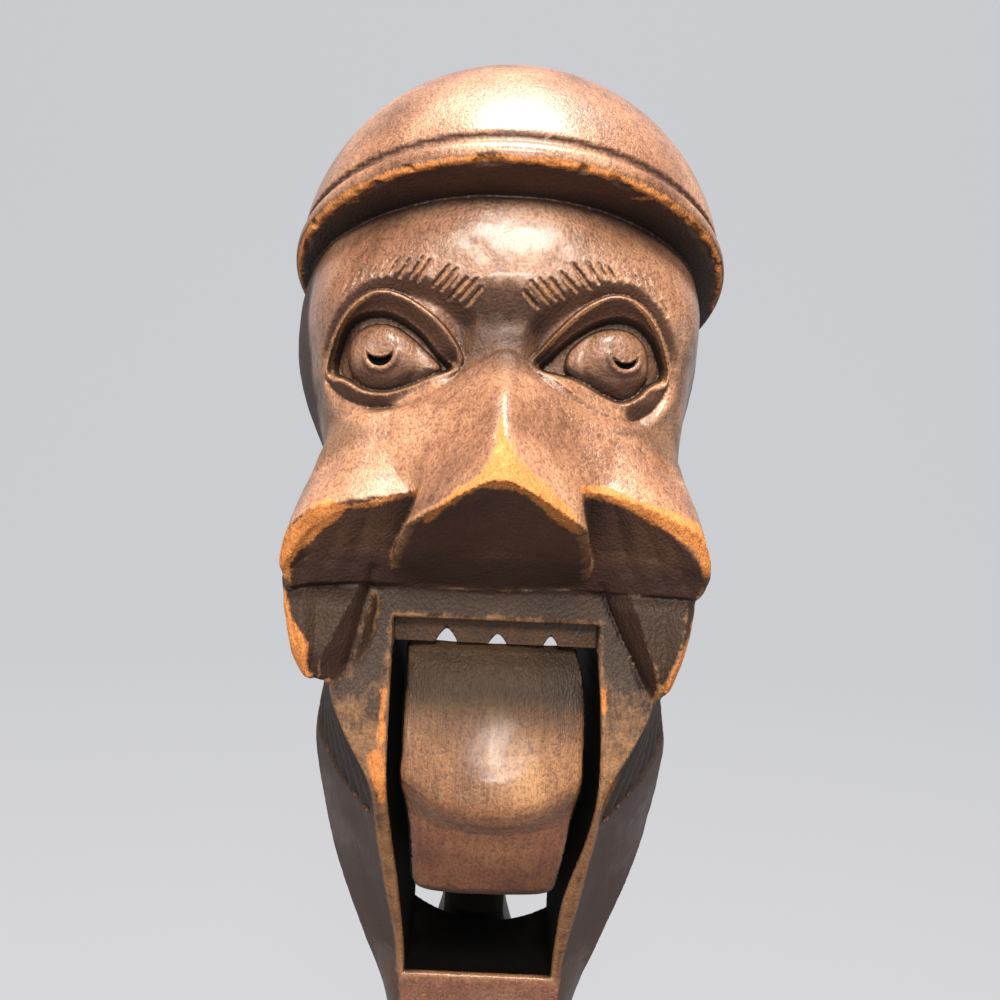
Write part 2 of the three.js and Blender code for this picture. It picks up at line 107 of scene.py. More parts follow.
def seen(pixels, reach):
    """Where points of the photograph lie on an upright plane that far in front of the cap's axis: X, Z."""
    pixels = np.array(pixels, float)
    across = (pixels[:, 0] - PICTURE_PIXELS / 2) / PICTURE_PIXELS * CAMERA_SENSOR / CAMERA_LENS
    up = (PICTURE_PIXELS / 2 - pixels[:, 1]) / PICTURE_PIXELS * CAMERA_SENSOR / CAMERA_LENS
    turn, lean = math.cos(CAMERA_ROLL), math.sin(CAMERA_ROLL)
    depth = -CAMERA_PLACE[1] - np.array(reach, float)
    return np.stack([CAMERA_PLACE[0] + (across * turn - up * lean) * depth,
                     CAMERA_PLACE[2] + (across * lean + up * turn) * depth], axis=1)


MAP_LOW = (-28.0, 82.0)
MAP_HIGH = (28.0, 192.0)
MAP_STEP = 0.125
map_x = np.arange(MAP_LOW[0], MAP_HIGH[0] + MAP_STEP / 2, MAP_STEP, dtype=np.float32)
map_z = np.arange(MAP_LOW[1], MAP_HIGH[1] + MAP_STEP / 2, MAP_STEP, dtype=np.float32)
MAP_X, MAP_Z = np.meshgrid(map_x, map_z)


def read_map(values, x, z):
    """A map's value at X and Z, between its four nearest points."""
    u = np.clip((x - MAP_LOW[0]) / MAP_STEP, 0, len(map_x) - 1.001)
    v = np.clip((z - MAP_LOW[1]) / MAP_STEP, 0, len(map_z) - 1.001)
    i, j = u.astype(np.int32), v.astype(np.int32)
    u, v = u - i, v - j
    flat = values.ravel()
    base = j * len(map_x) + i
    low = flat[base] * (1 - u) + flat[base + 1] * u
    base = base + len(map_x)
    return low * (1 - v) + (flat[base] * (1 - u) + flat[base + 1] * u) * v


def step_between(value, start, end):
    t = np.clip((value - start) / (end - start), 0, 1)
    return t * t * (3 - 2 * t)


def smooth_min(a, b, blend):
    h = np.clip(0.5 + 0.5 * (b - a) / blend, 0, 1)
    return b + (a - b) * h - blend * h * (1 - h)


def smooth_max(a, b, blend):
    return -smooth_min(-a, -b, blend)


def line_distance(x, z, start, end):
    """Distance to a straight stretch in the map, and how far along it the nearest point is."""
    dx, dz = end[0] - start[0], end[1] - start[1]
    t = np.clip(((x - start[0]) * dx + (z - start[1]) * dz) / (dx * dx + dz * dz), 0, 1)
    return np.hypot(x - start[0] - t * dx, z - start[1] - t * dz), t


def outline_distance(x, z, points):
    """Distance to a closed outline in X and Z, below zero inside it."""
    distance = np.full(x.shape, FAR, np.float32)
    inside = np.zeros(x.shape, bool)
    for (x0, z0), (x1, z1) in zip(points, np.roll(points, -1, axis=0)):
        distance = np.minimum(distance, line_distance(x, z, (x0, z0), (x1, z1))[0])
        if z0 != z1:
            crosses = (z0 > z) != (z1 > z)
            inside ^= crosses & (x < (x1 - x0) * (z - z0) / (z1 - z0) + x0)
    return np.where(inside, -distance, distance)


def rounded_outline(points, rounds=2):
    """The outline with its corners cut in turn, which makes a smooth one."""
    for _ in range(rounds):
        after = np.roll(points, -1, axis=0)
        points = np.stack([points * 0.75 + after * 0.25, points * 0.25 + after * 0.75], axis=1).reshape(-1, 2)
    return points


def window(points, margin):
    """The part of the map round some points."""
    low, high = points.min(0) - margin, points.max(0) + margin
    columns = slice(max(int((low[0] - MAP_LOW[0]) / MAP_STEP), 0), int((high[0] - MAP_LOW[0]) / MAP_STEP) + 2)
    rows = slice(max(int((low[1] - MAP_LOW[1]) / MAP_STEP), 0), int((high[1] - MAP_LOW[1]) / MAP_STEP) + 2)
    return rows, columns


# Solid forms, as distances that are below zero inside the wood

def ball(x, y, z, centre, radii):
    u, v, w = (x - centre[0]) / radii[0], (y - centre[1]) / radii[1], (z - centre[2]) / radii[2]
    near = np.sqrt(u * u + v * v + w * w)
    steep = np.sqrt((u / radii[0]) ** 2 + (v / radii[1]) ** 2 + (w / radii[2]) ** 2)
    return near * (near - 1) / np.maximum(steep, 1e-5)


def oval_distance(u, v, across, along, bend):
    """Distance to a rounded outline, from the places across and along it as shares of its half-widths."""
    u, v = u + TINY, v + TINY
    grown = u ** bend + v ** bend
    whole = grown ** (1 / bend)
    share = whole / grown
    return (whole - 1) / np.hypot(u ** (bend - 1) * share / across, v ** (bend - 1) * share / along)


def plan_distance(x, y, flat, front, side, side_place, rear, round_front, round_rear):
    """An outline in plan: a flat front, a corner back to the widest place, and a round rear."""
    ahead = y < side_place
    across = np.where(ahead, side - flat, side)
    along = np.where(ahead, side_place - front, rear - side_place)
    bend = np.where(ahead, round_front, round_rear)
    u = np.maximum(np.abs(x) - np.where(ahead, flat, 0), 0) / across
    return oval_distance(u, np.abs(y - side_place) / along, across, along, bend)


class Lumps:
    """Slight unevenness left by hand tools: smooth random heights on a coarse lattice."""

    def __init__(self, seed, size):
        self.size = size
        heights = np.random.default_rng(seed).uniform(-1, 1, [LATTICE] * 3)
        self.heights = heights.astype(np.float32).ravel()

    def at(self, x, y, z):
        cells, shares = [], []
        for a in (x, y, z):
            scaled = a / self.size + LATTICE // 2
            cell = np.floor(scaled).astype(np.int32)
            t = scaled - cell
            cells.append(cell)
            shares.append(t * t * (3 - 2 * t))
        total = 0
        for corner in range(8):
            weight, index = 1, 0
            for axis in range(3):
                bit = corner >> axis & 1
                weight = weight * (shares[axis] if bit else 1 - shares[axis])
                index = index * LATTICE + (cells[axis] + bit) % LATTICE
            total = total + weight * self.heights[index]
        return total


# Making a mesh of a form

CORNERS = [(i, j, k) for i in (0, 1) for j in (0, 1) for k in (0, 1)]
EDGES = [(a, b) for a in range(8) for b in range(a + 1, 8)
         if sum(abs(p - q) for p, q in zip(CORNERS[a], CORNERS[b])) == 1]


def sampled(form, low, high, step):
    """The form's distance on a grid over its box, worked out only near its surface."""
    blocks = [int(math.ceil((b - a) / (step * BLOCK_STEPS))) for a, b in zip(low, high)]
    span = step * BLOCK_STEPS
    middles = [low[axis] + (np.arange(blocks[axis]) + 0.5) * span for axis in range(3)]
    mx, my, mz = (a.ravel().astype(np.float32) for a in np.meshgrid(*middles, indexing="ij"))
    rough = form(mx, my, mz)
    near = np.abs(rough) < BLOCK_MARGIN * span * math.sqrt(3) / 2
    grid = np.repeat(np.repeat(np.repeat(
        np.where(rough < 0, -span, span).astype(np.float32).reshape(blocks),
        BLOCK_STEPS, 0), BLOCK_STEPS, 1), BLOCK_STEPS, 2)
    inner = (np.arange(BLOCK_STEPS) * step).astype(np.float32)
    offsets = np.stack(np.meshgrid(inner, inner, inner, indexing="ij"), -1).reshape(-1, 3)
    view = grid.reshape(blocks[0], BLOCK_STEPS, blocks[1], BLOCK_STEPS, blocks[2], BLOCK_STEPS)
    chosen = np.nonzero(near)[0]
    for part in np.array_split(chosen, max(1, len(chosen) // BLOCKS_AT_ONCE)):
        i, j, k = np.unravel_index(part, blocks)
        corner = np.stack([low[0] + i * span, low[1] + j * span, low[2] + k * span], -1).astype(np.float32)
        points = (corner[:, None, :] + offsets[None]).reshape(-1, 3)
        values = form(points[:, 0], points[:, 1], points[:, 2])
        view[i, :, j, :, k, :] = values.reshape(len(part), BLOCK_STEPS, BLOCK_STEPS, BLOCK_STEPS)
    return grid


def skin(grid, low, step):
    """A closed skin of four-sided faces round the wood in the grid, one point in each cell it crosses."""
    wood = grid < 0
    crossed = np.zeros([n - 1 for n in grid.shape], np.int8)
    for i, j, k in CORNERS:
        crossed += wood[i:i + crossed.shape[0], j:j + crossed.shape[1], k:k + crossed.shape[2]]
    cells = np.argwhere((crossed > 0) & (crossed < 8))
    number = np.full(crossed.shape, -1, np.int32)
    number[tuple(cells.T)] = np.arange(len(cells))
    values = np.stack([grid[tuple((cells + c).T)] for c in CORNERS], 1)
    total = np.zeros((len(cells), 3))
    count = np.zeros((len(cells), 1))
    for a, b in EDGES:
        change = (values[:, a] < 0) != (values[:, b] < 0)
        share = np.where(change, values[:, a] / np.where(change, values[:, a] - values[:, b], 1), 0)[:, None]
        place = np.array(CORNERS[a]) + share * (np.array(CORNERS[b]) - np.array(CORNERS[a]))
        total += np.where(change[:, None], place, 0)
        count += change[:, None]
    points = (cells + total / count) * step + np.array(low)
    faces = []
    for axis in range(3):
        one, two = (axis + 1) % 3, (axis + 2) % 3
        ahead = np.take(wood, range(1, wood.shape[axis]), axis)
        behind = np.take(wood, range(wood.shape[axis] - 1), axis)
        spots = np.argwhere(ahead != behind)
        leaving = behind[tuple(spots.T)]
        steps = []
        for shift_one, shift_two in ((0, 0), (1, 0), (1, 1), (0, 1)):
            cell = spots.copy()
            cell[:, one] -= shift_one
            cell[:, two] -= shift_two
            steps.append(number[tuple(cell.T)])
        quads = np.stack(steps, 1)
        quads[~leaving] = quads[~leaving][:, ::-1]
        faces.append(quads)
    return points, np.concatenate(faces)


def slopes(form, points):
    """The form's distance and its direction of growth at some points."""
    x, y, z = (points[:, axis].astype(np.float32) for axis in range(3))
    growth = np.stack([
        form(x + PROBE, y, z) - form(x - PROBE, y, z),
        form(x, y + PROBE, z) - form(x, y - PROBE, z),
        form(x, y, z + PROBE) - form(x, y, z - PROBE)], 1) / (2 * PROBE)
    return form(x, y, z), growth


def settled(form, points, most):
    """Points moved onto the form's true surface, no further than the most in each step."""
    for _ in range(SETTLE_STEPS):
        value, growth = slopes(form, points)
        move = growth * (value / np.maximum((growth ** 2).sum(1), LEAST_GROWTH))[:, None]
        length = np.linalg.norm(move, axis=1, keepdims=True)
        points = points - move * np.minimum(1, most / np.maximum(length, 1e-9))
    return points


def mesh_points(mesh):
    points = np.zeros(len(mesh.vertices) * 3, np.float32)
    mesh.vertices.foreach_get("co", points)
    return points.reshape(-1, 3).astype(float)


def thinned(mesh, share):
    """The mesh with fewer triangles where it is flat."""
    holder = bpy.data.objects.new("thinning", mesh)
    bpy.context.scene.collection.objects.link(holder)
    modifier = holder.modifiers.new("thin", "DECIMATE")
    modifier.ratio = share
    result = bpy.data.meshes.new_from_object(holder.evaluated_get(bpy.context.evaluated_depsgraph_get()))
    bpy.data.objects.remove(holder)
    return result


def carved(name, form, low, high, most_triangles, close_up=None):
    """A piece of wood with the form's skin; close_up picks the points where its edges are halved."""
    grid = sampled(form, low, high, GRID_STEP)
    points, faces = skin(grid, low, GRID_STEP)
    points = settled(form, points, GRID_STEP / 2)
    mesh = bpy.data.meshes.new(name)
    mesh.from_pydata(points.tolist(), [], faces.tolist())
    mesh = thinned(mesh, most_triangles / (2 * len(faces)))
    if close_up is not None:
        shape = bmesh.new()
        shape.from_mesh(mesh)
        fine = [edge for edge in shape.edges
                if close_up(edge.verts[0].co) and close_up(edge.verts[1].co)
                and edge.calc_length() > GRID_STEP * CLOSE_UP_LENGTH]
        bmesh.ops.subdivide_edges(shape, edges=fine, cuts=1)
        bmesh.ops.triangulate(shape, faces=shape.faces)
        shape.to_mesh(mesh)
        shape.free()
    points = settled(form, mesh_points(mesh), GRID_STEP / 3)
    mesh.vertices.foreach_set("co", (points * MM).astype(np.float32).ravel())
    growth = slopes(form, points)[1]
    normals = growth / np.maximum(np.linalg.norm(growth, axis=1, keepdims=True), 1e-6)
    mesh.shade_smooth()
    mesh.normals_split_custom_set_from_vertices(normals.tolist())
    piece = bpy.data.objects.new(name, mesh)
    bpy.context.scene.collection.objects.link(piece)
    return piece, points, normals


def add_attribute(piece, name, values):
    attribute = piece.data.attributes.new(name, "FLOAT", "POINT")
    attribute.data.foreach_set("value", np.asarray(values, np.float32))


# The head: its block, from the foot to the crown

# Level, half-width of the flat front, front, widest half-width, where that lies, rear, and how round
# the corner between front and side is, from 1, a straight facet, to 2, an ellipse, and boxier above.
HEAD_PLAN = smooth_table([
    (0, 4.6, -1.6, 9.2, 4.4, 13.4, 2.6),
    (2.5, 5.2, -3.4, 10.35, 4.4, 13.4, 2.6),
    (12, 4.9, -4.2, 11.1, 4.4, 13.4, 2.5),
    (25.2, 4.6, -4.6, 11.5, 4.4, 13.4, 2.4),
    (58.8, 5.75, -4.0, 10.7, 4.4, 13.4, 2.4),
    (78.1, 8.6, -3.04, 11.27, 4.4, 13.4, 1.8),
    (84, 9.7, -3.0, 12.2, 4.5, 13.4, 1.3),
    (90.6, 9.9, -3.0, 14.9, 4.5, 13.6, 1.05),
    (103.9, 11.3, -10.7, 20.0, 4.0, 18.5, 1.0),
    (111.3, 12.1, -14.8, 21.6, 3.2, 21.0, 1.0),
    (118.8, 13.0, -19.0, 22.6, 2.0, 23.1, 1.05),
    (122.8, 15.3, -18.8, 22.2, 0.9, 23.9, 1.08),
    (126.7, 17.2, -18.4, 21.6, 0.0, 24.5, 1.15),
    (136.7, 17.3, -17.0, 21.0, -4.0, 25.3, 1.4),
    (140.6, 16.7, -17.0, 21.0, -5.3, 25.3, 1.7),
    (149.6, 13.6, -17.0, 20.8, -7.9, 25.5, 2.5),
    (157.5, 12.4, -18.0, 20.8, -7.9, 24.8, 2.8),
    (165.4, 11.3, -18.9, 21.5, -7.9, 24.0, 3.0),
    (171.6, 9.5, -20.3, 22.4, -7.4, 23.8, 2.7),
    (177, 5.0, -20.8, 22.0, -4.0, 23.8, 2.3),
    (181.7, 1.8, -20.1, 20.2, -0.5, 23.7, 2.0),
    (187.7, 1.1, -16.2, 15.9, 0.0, 19.4, 2.0),
])
REAR_ROUND = 2.3
BLOCK_TOP = 187.7
HAIR_CENTRE = (-1.3, 2.0, 169.2)
HAIR_RADII = (25.3, 22.2, 25.2)
HAIR_BLEND = 4.0


def head_block(x, y, z):
    flat, front, side, place, rear, bend = looked_up(HEAD_PLAN, z)
    wood = plan_distance(x, y, flat, front, side, place, rear, bend, REAR_ROUND)
    return np.maximum(wood, z - BLOCK_TOP)


# The cap: a dome over a rolled band, with a groove above the band and a shallow cove under it

CAP_BAND_RADIUS = 1.55
CAP_BAND_REACH = 25.3
CAP_GROOVE_UP = 1.75
CAP_GROOVE_RADIUS = 0.6
CAP_UNDER = -1.35
CAP_CHIP_DEPTH = 0.75
CAP_CHIPS_OUT = (25.2, 26.1)
CAP_CHIPS_AHEAD = (5, -5)
CAP_BLEND = 0.25
CAP_GROOVE_BLEND = 0.4
chip_marks = Lumps(seed=5, size=1.2)


def from_cap(x, y, z):
    """How far up along the cap's tilted axis, and how far out from it."""
    dz = z - CAP_CENTRE[2]
    up = y * math.sin(CAP_TILT) + dz * math.cos(CAP_TILT)
    back = y * math.cos(CAP_TILT) - dz * math.sin(CAP_TILT)
    return up, np.hypot(x, back)


def cap_form(x, y, z):
    up, out = from_cap(x, y, z)
    zero = np.zeros_like(x)
    dome = ball(out, up, zero, (0, 0, 0), (CAP_RADIUS, CAP_RISE, CAP_RADIUS))
    band = np.hypot(out - CAP_BAND_REACH, up) - CAP_BAND_RADIUS
    groove = np.hypot(out - CAP_RADIUS, up - CAP_GROOVE_UP) - CAP_GROOVE_RADIUS
    at_rim = step_between(out, *CAP_CHIPS_OUT) * step_between(y, *CAP_CHIPS_AHEAD)
    chips = CAP_CHIP_DEPTH * np.maximum(chip_marks.at(x, y, z), 0) * at_rim
    cap = smooth_max(smooth_min(dome, band, CAP_BLEND), CAP_UNDER + chips - up, CAP_BLEND)
    return smooth_max(cap, -groove, CAP_GROOVE_BLEND)


# Nose and cheeks: forms that stand out from the face, as reaches over X and Z

REACH_FALL = 4.0
LEAST_REACH = -60.0


def draped(stations):
    """A map from stations along X, each with levels and the reach at each; past the last it falls away."""
    keys = np.array([row[0] for row in stations], float)
    table = np.array([[value for pair in row[1:] for value in pair] for row in stations], float)
    fine, bent = smooth_table(np.column_stack([keys, table]))
    result = np.zeros(MAP_X.shape, np.float32)
    for index, key in enumerate(map_x):
        row = [np.interp(key, fine, column) for column in bent.T]
        past = np.maximum(row[0] - map_z, 0) + np.maximum(map_z - row[-2], 0)
        result[:, index] = np.maximum(np.interp(map_z, row[0::2], row[1::2]) - REACH_FALL * past, LEAST_REACH)
    return result


# The nose at X: level and reach at its base, halfway up its hollow underside, at its lower edge,
# halfway up its ridge, at its top, and inside the face above. All of it starts from the same foot.
NOSE_FOOT = (137.5, 8)
NOSE_STATIONS = [
    (-12.0, (140.2, 16.6), (142.6, 20.2), (145.6, 26.0), (153.8, 21.3), (161.6, 16.8), (163.8, 15)),
    (-8.4, (140.1, 16.9), (143.0, 21.2), (147.7, 29.8), (155.2, 23.7), (162.8, 18.4), (165, 16.6)),
    (-5.7, (140.0, 17), (143.9, 22.0), (149.2, 32.0), (156.4, 25.2), (163.9, 19.6), (166, 17.5)),
    (-2.9, (140.0, 17), (144.3, 22.4), (150.9, 33.6), (157.8, 26.7), (165.2, 20.6), (167.2, 18.2)),
    (0.0, (140.0, 17), (144.5, 22.6), (151.9, 34.3), (159.0, 28.0), (166.3, 21.4), (168.4, 18.7)),
    (2.9, (140.1, 17), (144.4, 22.4), (150.9, 33.6), (157.8, 26.7), (165.0, 20.6), (167.0, 18.2)),
    (5.8, (140.3, 17), (144.0, 22.0), (149.2, 32.0), (156.4, 25.2), (163.6, 19.6), (165.8, 17.5)),
    (8.4, (140.5, 16.9), (143.2, 21.2), (147.6, 29.8), (155.2, 23.7), (162.6, 18.4), (164.8, 16.6)),
    (12.0, (140.7, 16.6), (142.8, 20.2), (145.5, 26.0), (153.8, 21.3), (161.4, 16.8), (163.6, 15)),
]
# Half-width of the nose at each level, to the left and the right of the face's middle
NOSE_WINGS = smooth_table([
    (136, 10.4, 9.6), (140, 11.4, 10.0), (143, 11.5, 10.1), (146, 10.2, 9.4), (148.5, 8.9, 8.8),
    (151, 8.6, 8.8), (154, 9.6, 9.6), (158, 11.5, 11.5), (168, 14, 14),
])

# The cheeks at X: level and reach below their base, at the base, in the hollow underside, at the lower
# and the upper side of their worn edge, halfway up to the eyes, under the eyes, and inside the face above.
CHEEK_STATIONS = [
    (-23.4, (137.2, 12), (139.8, 21.0), (140.6, 21.5), (141.4, 22.2),
     (142.8, 22.5), (144.4, 21.6), (146.4, 20.0), (150, 15)),
    (-22.3, (137.2, 12), (139.8, 21.0), (141.5, 21.9), (142.6, 23.0),
     (145.6, 23.7), (148.2, 19.9), (151.6, 14.2), (154, 9)),
    (-20.0, (137.2, 11), (140.2, 20.3), (143.2, 21.9), (145.7, 24.3),
     (148.0, 24.9), (151.4, 20.4), (156.2, 15.6), (159, 10)),
    (-16.3, (137.5, 10), (140.4, 19.7), (144.2, 22.1), (148.2, 25.7),
     (149.2, 26.0), (153.4, 22.3), (158.3, 18.8), (161, 14)),
    (-11.7, (137.5, 9), (140.4, 18.2), (144.5, 21.2), (149.4, 25.8),
     (150.0, 26.0), (154.4, 22.9), (159.4, 19.9), (162, 15)),
    (-8.0, (137.5, 8), (140.2, 17), (143.9, 19.4), (150.2, 25.2),
     (150.7, 25.6), (155.4, 22.9), (161.0, 20.2), (163, 15)),
    (0.0, (137.5, 8), (140.0, 17), (144.0, 19.4), (151.0, 24.8),
     (151.5, 25.2), (157.5, 23.2), (165.9, 21.0), (168, 15)),
    (8.2, (137.5, 8), (140.4, 17), (144.3, 19.4), (150.8, 25.2),
     (151.3, 25.6), (155.8, 22.9), (161.2, 20.2), (163.4, 15)),
    (11.5, (137.5, 9), (140.4, 18.2), (145.0, 21.2), (150.3, 25.8),
     (150.9, 26.1), (155.2, 22.9), (159.8, 20.0), (162, 15)),
    (15.0, (137.5, 10), (140.4, 19.7), (144.8, 22.0), (149.0, 25.7),
     (149.9, 26.1), (154.2, 22.4), (158.6, 19.0), (161, 14)),
    (18.6, (137.2, 11), (140.4, 20.3), (143.6, 21.9), (146.4, 24.4),
     (148.4, 25.0), (152.6, 21.0), (157.2, 16.4), (160, 11)),
    (21.6, (137.2, 12), (140.2, 20.8), (142.2, 21.8), (143.7, 23.2),
     (146.5, 23.8), (149.2, 19.9), (152.8, 14.4), (155, 9)),
    (23.0, (137.2, 12), (140.2, 21.0), (141.2, 21.5), (142.3, 22.2),
     (143.9, 22.5), (145.4, 21.6), (147.6, 20.0), (151, 15)),
]
# Half-width of the cheeks at each level, left and right, and how fast they narrow towards the back
CHEEK_WIDTHS = smooth_table([
    (136, 22.4, 21.4), (139.8, 22.9, 22.0), (142.3, 23.3, 22.8), (144.3, 23.2, 22.8), (147.5, 22.8, 22.4),
    (150, 22.2, 22.0), (153, 21.6, 21.6), (157, 21.2, 21.4), (162, 20.8, 21.2), (168, 18, 18),
])
CHEEK_NARROWING = 0.3
CHEEK_FULL_TO = -19.0

# The moustache's outlines in the photograph, from its top down, at this reach
MOUSTACHE_REACH = 20.0
LEFT_MOUSTACHE = {
    "outer": [(277, 570), (279, 586), (283, 604), (287, 632), (291, 654), (297, 670), (307, 686)],
    "outer_band": [(300, 570), (302, 586), (303, 604), (304, 632), (304, 654), (304, 670), (311, 686)],
    "crease": [(318, 570), (318, 586), (317, 604), (316, 632), (314, 654), (311, 670), (315, 686)],
    "ridge": [(360, 570), (357, 586), (350, 604), (335, 632), (322, 654), (318, 670), (320, 686)],
    "inner": [(384, 570), (380, 586), (377, 604), (372, 632), (367, 654), (360, 670), (346, 686)],
}
RIGHT_MOUSTACHE = {
    "inner": [(596, 574), (600, 590), (608, 612), (618, 638), (629, 662), (641, 690), (651, 706)],
    "ridge": [(626, 574), (630, 590), (636, 612), (645, 638), (653, 662), (660, 690), (662, 706)],
    "crease": [(664, 574), (665, 590), (665, 612), (664, 638), (664, 662), (663, 690), (663, 706)],
    "outer_band": [(690, 574), (688, 590), (686, 612), (682, 638), (676, 662), (665, 690), (664, 706)],
    "outer": [(704, 574), (699, 590), (695, 612), (690, 638), (683, 662), (673, 690), (664, 706)],
}
MOUSTACHE_REACHES = {"outer": 20.4, "outer_band": 21.2, "crease": 20.3, "ridge": 20.6, "inner": 17.3}
MOUSTACHE_TIP_SINK = 0.9
MOUSTACHE_TIP_LENGTH = 5
MOUSTACHE_TOP_SINK = 2.0
MOUSTACHE_TOP_FROM = 4.5
MOUSTACHE_TOP_TO = 1.2
MOUSTACHE_NARROWING = 0.32
MOUSTACHE_FULL_TO = -18.0


def moustache_map(lines):
    """One side of the moustache: its reach over X and Z, and its outline."""
    places = {name: seen(points, MOUSTACHE_REACH) for name, points in lines.items()}
    names = sorted(lines, key=lambda name: places[name][0, 0])
    reach = np.zeros(MAP_X.shape, np.float32)
    top = max(place[:, 1].max() for place in places.values())
    low = min(place[:, 1].min() for place in places.values())
    for index, z in enumerate(map_z):
        across = [np.interp(z, places[name][::-1, 1], places[name][::-1, 0]) for name in names]
        sink = MOUSTACHE_TIP_SINK * float(step_between(z, low + MOUSTACHE_TIP_LENGTH, low))
        at_top = step_between(z, top - MOUSTACHE_TOP_FROM, top - MOUSTACHE_TOP_TO)
        sink += MOUSTACHE_TOP_SINK * float(at_top)
        reach[index, :] = np.interp(map_x, across, [MOUSTACHE_REACHES[name] - sink for name in names])
    return reach, rounded_outline(np.concatenate([places["inner"], places["outer"][::-1]]))


LEAST_FLATTENING = 0.2
NOSE_EDGE = 1.3
CHEEK_EDGE = 1.2
MOUSTACHE_EDGE = 0.5
MOUSTACHE_BLEND = 0.35
# The nose and cheeks run together softly above these levels, and meet in a crease below
NOSE_BLEND_BELOW = 0.7
NOSE_BLEND_ADDED = 2.0
NOSE_BLEND_LEVELS = (149.5, 153.5)
FACE_BACK = -3


def flattening(reach):
    """How far a map's steepness shortens distances measured straight forward."""
    dz, dx = np.gradient(reach, MAP_STEP)
    return np.maximum(1 / np.sqrt(1 + dx * dx + dz * dz), LEAST_FLATTENING)


nose_map = draped([(row[0], NOSE_FOOT) + row[1:] for row in NOSE_STATIONS])
cheek_map = draped(CHEEK_STATIONS)
moustache_maps = [moustache_map(lines) for lines in (LEFT_MOUSTACHE, RIGHT_MOUSTACHE)]
moustache_outlines = [outline_distance(MAP_X, MAP_Z, outline) for _, outline in moustache_maps]
nose_flat, cheek_flat = flattening(nose_map), flattening(cheek_map)
moustache_flats = [flattening(reach) for reach, _ in moustache_maps]


def past_front(reach, flat, x, y, z):
    """How far a point lies in front of a map's surface."""
    return (-read_map(reach, x, z) - y) * read_map(flat, x, z)


def past_sides(widths, x, z):
    """How far a point lies outside the left and right half-widths of its level."""
    left, right = looked_up(widths, z)
    return np.where(x < 0, -x - left, x - right)


def face_forms(x, y, z):
    """Nose, cheeks and moustache together."""
    nose = smooth_max(past_front(nose_map, nose_flat, x, y, z), past_sides(NOSE_WINGS, x, z), NOSE_EDGE)
    narrowing = CHEEK_NARROWING * np.maximum(y - CHEEK_FULL_TO, 0)
    side = past_sides(CHEEK_WIDTHS, x, z) + narrowing
    cheeks = smooth_max(past_front(cheek_map, cheek_flat, x, y, z), side, CHEEK_EDGE)
    soft = NOSE_BLEND_BELOW + NOSE_BLEND_ADDED * step_between(z, *NOSE_BLEND_LEVELS)
    wood = smooth_min(nose, cheeks, soft)
    narrowing = MOUSTACHE_NARROWING * np.maximum(y - MOUSTACHE_FULL_TO, 0)
    for (reach, _), outline, flat in zip(moustache_maps, moustache_outlines, moustache_flats):
        side = read_map(outline, x, z) + narrowing
        hair = smooth_max(past_front(reach, flat, x, y, z), side, MOUSTACHE_EDGE)
        wood = smooth_min(wood, hair, MOUSTACHE_BLEND)
    return np.maximum(wood, y - FACE_BACK)


# Relief: what is cut into the face's surface, as a depth over X and Z

FACE_REACH = 19.5
BROW_REACH = 20.0
FLUTE_REACH = 22.0

LEFT_EYE = {
    "orbit": [(311, 352), (318, 332), (330, 309), (345, 290), (366, 277), (395, 271), (425, 276),
              (452, 287), (472, 303), (482, 325), (478, 352), (462, 384), (434, 406), (400, 419),
              (366, 418), (335, 408), (315, 390)],
    "lids": [(314, 376), (320, 349), (334, 321), (352, 299), (377, 287), (402, 292), (428, 308),
             (448, 326), (461, 346), (467, 364), (450, 386), (424, 402), (395, 409), (362, 409),
             (336, 398)],
    "opening": [(323, 370), (334, 336), (345, 318), (364, 309), (388, 310), (408, 320), (426, 335),
                (440, 355), (458, 368), (434, 378), (408, 388), (384, 394), (361, 391), (347, 381)],
    "eyeball": [(343, 353), (347, 336), (359, 325), (376, 321), (394, 324), (411, 336), (425, 350),
                (444, 368), (424, 380), (404, 388), (384, 393), (364, 390), (350, 379)],
    "corners": [(322, 373), (465, 366)], "middle": (379, 357),
    "crescent": (378.8, 351.2), "crescent_out": (378.8, 364.8),
    "pupil": (378.7, 337.9), "pupil_out": (378.7, 355.8),
}
RIGHT_EYE = {
    "orbit": [(521, 362), (520, 335), (532, 313), (553, 296), (582, 284), (612, 279), (640, 283),
              (660, 300), (674, 322), (684, 352), (684, 385), (673, 412), (650, 430), (622, 435),
              (592, 427), (560, 410), (534, 388)],
    "lids": [(524, 364), (541, 345), (558, 327), (580, 308), (603, 296), (622, 294), (642, 302),
             (659, 322), (671, 348), (676, 374), (668, 399), (650, 418), (630, 426), (604, 420),
             (574, 406), (544, 387)],
    "opening": [(533, 369), (550, 354), (567, 338), (591, 323), (616, 315), (639, 319), (655, 333),
                (664, 350), (672, 376), (650, 388), (642, 398), (624, 406), (604, 398), (582, 385),
                (558, 376)],
    "eyeball": [(614, 327), (632, 330), (645, 340), (650, 354), (651, 372), (643, 390), (630, 403),
                (616, 403), (598, 393), (578, 381), (566, 370), (568, 352), (584, 337), (600, 329)],
    "corners": [(530, 368), (672, 384)], "middle": (621, 361),
    "crescent": (627, 355), "crescent_out": (627, 368.4),
    "pupil": (627, 345.9), "pupil_out": (627, 362),
}
EYE_REACH = 19.6
ORBIT_DEPTH = 1.2
ORBIT_SLOPE_WIDTH = 2.6
UPPER_LID_CREST = -0.35
UPPER_LID_DEPTH = 0.9
LOWER_LID_CREST = -0.15
LOWER_LID_DEPTH = 0.75
UPPER_LID_TURN = (0.2, 1)
LOWER_LID_HOLLOW = 1.4
LIDS_MEET = (-0.8, 0.8)
LID_STEP = 0.45
OPENING_DEPTH = 2.4
OPENING_SLOPE = 3.2
EYEBALL_DEPTH = 0.25
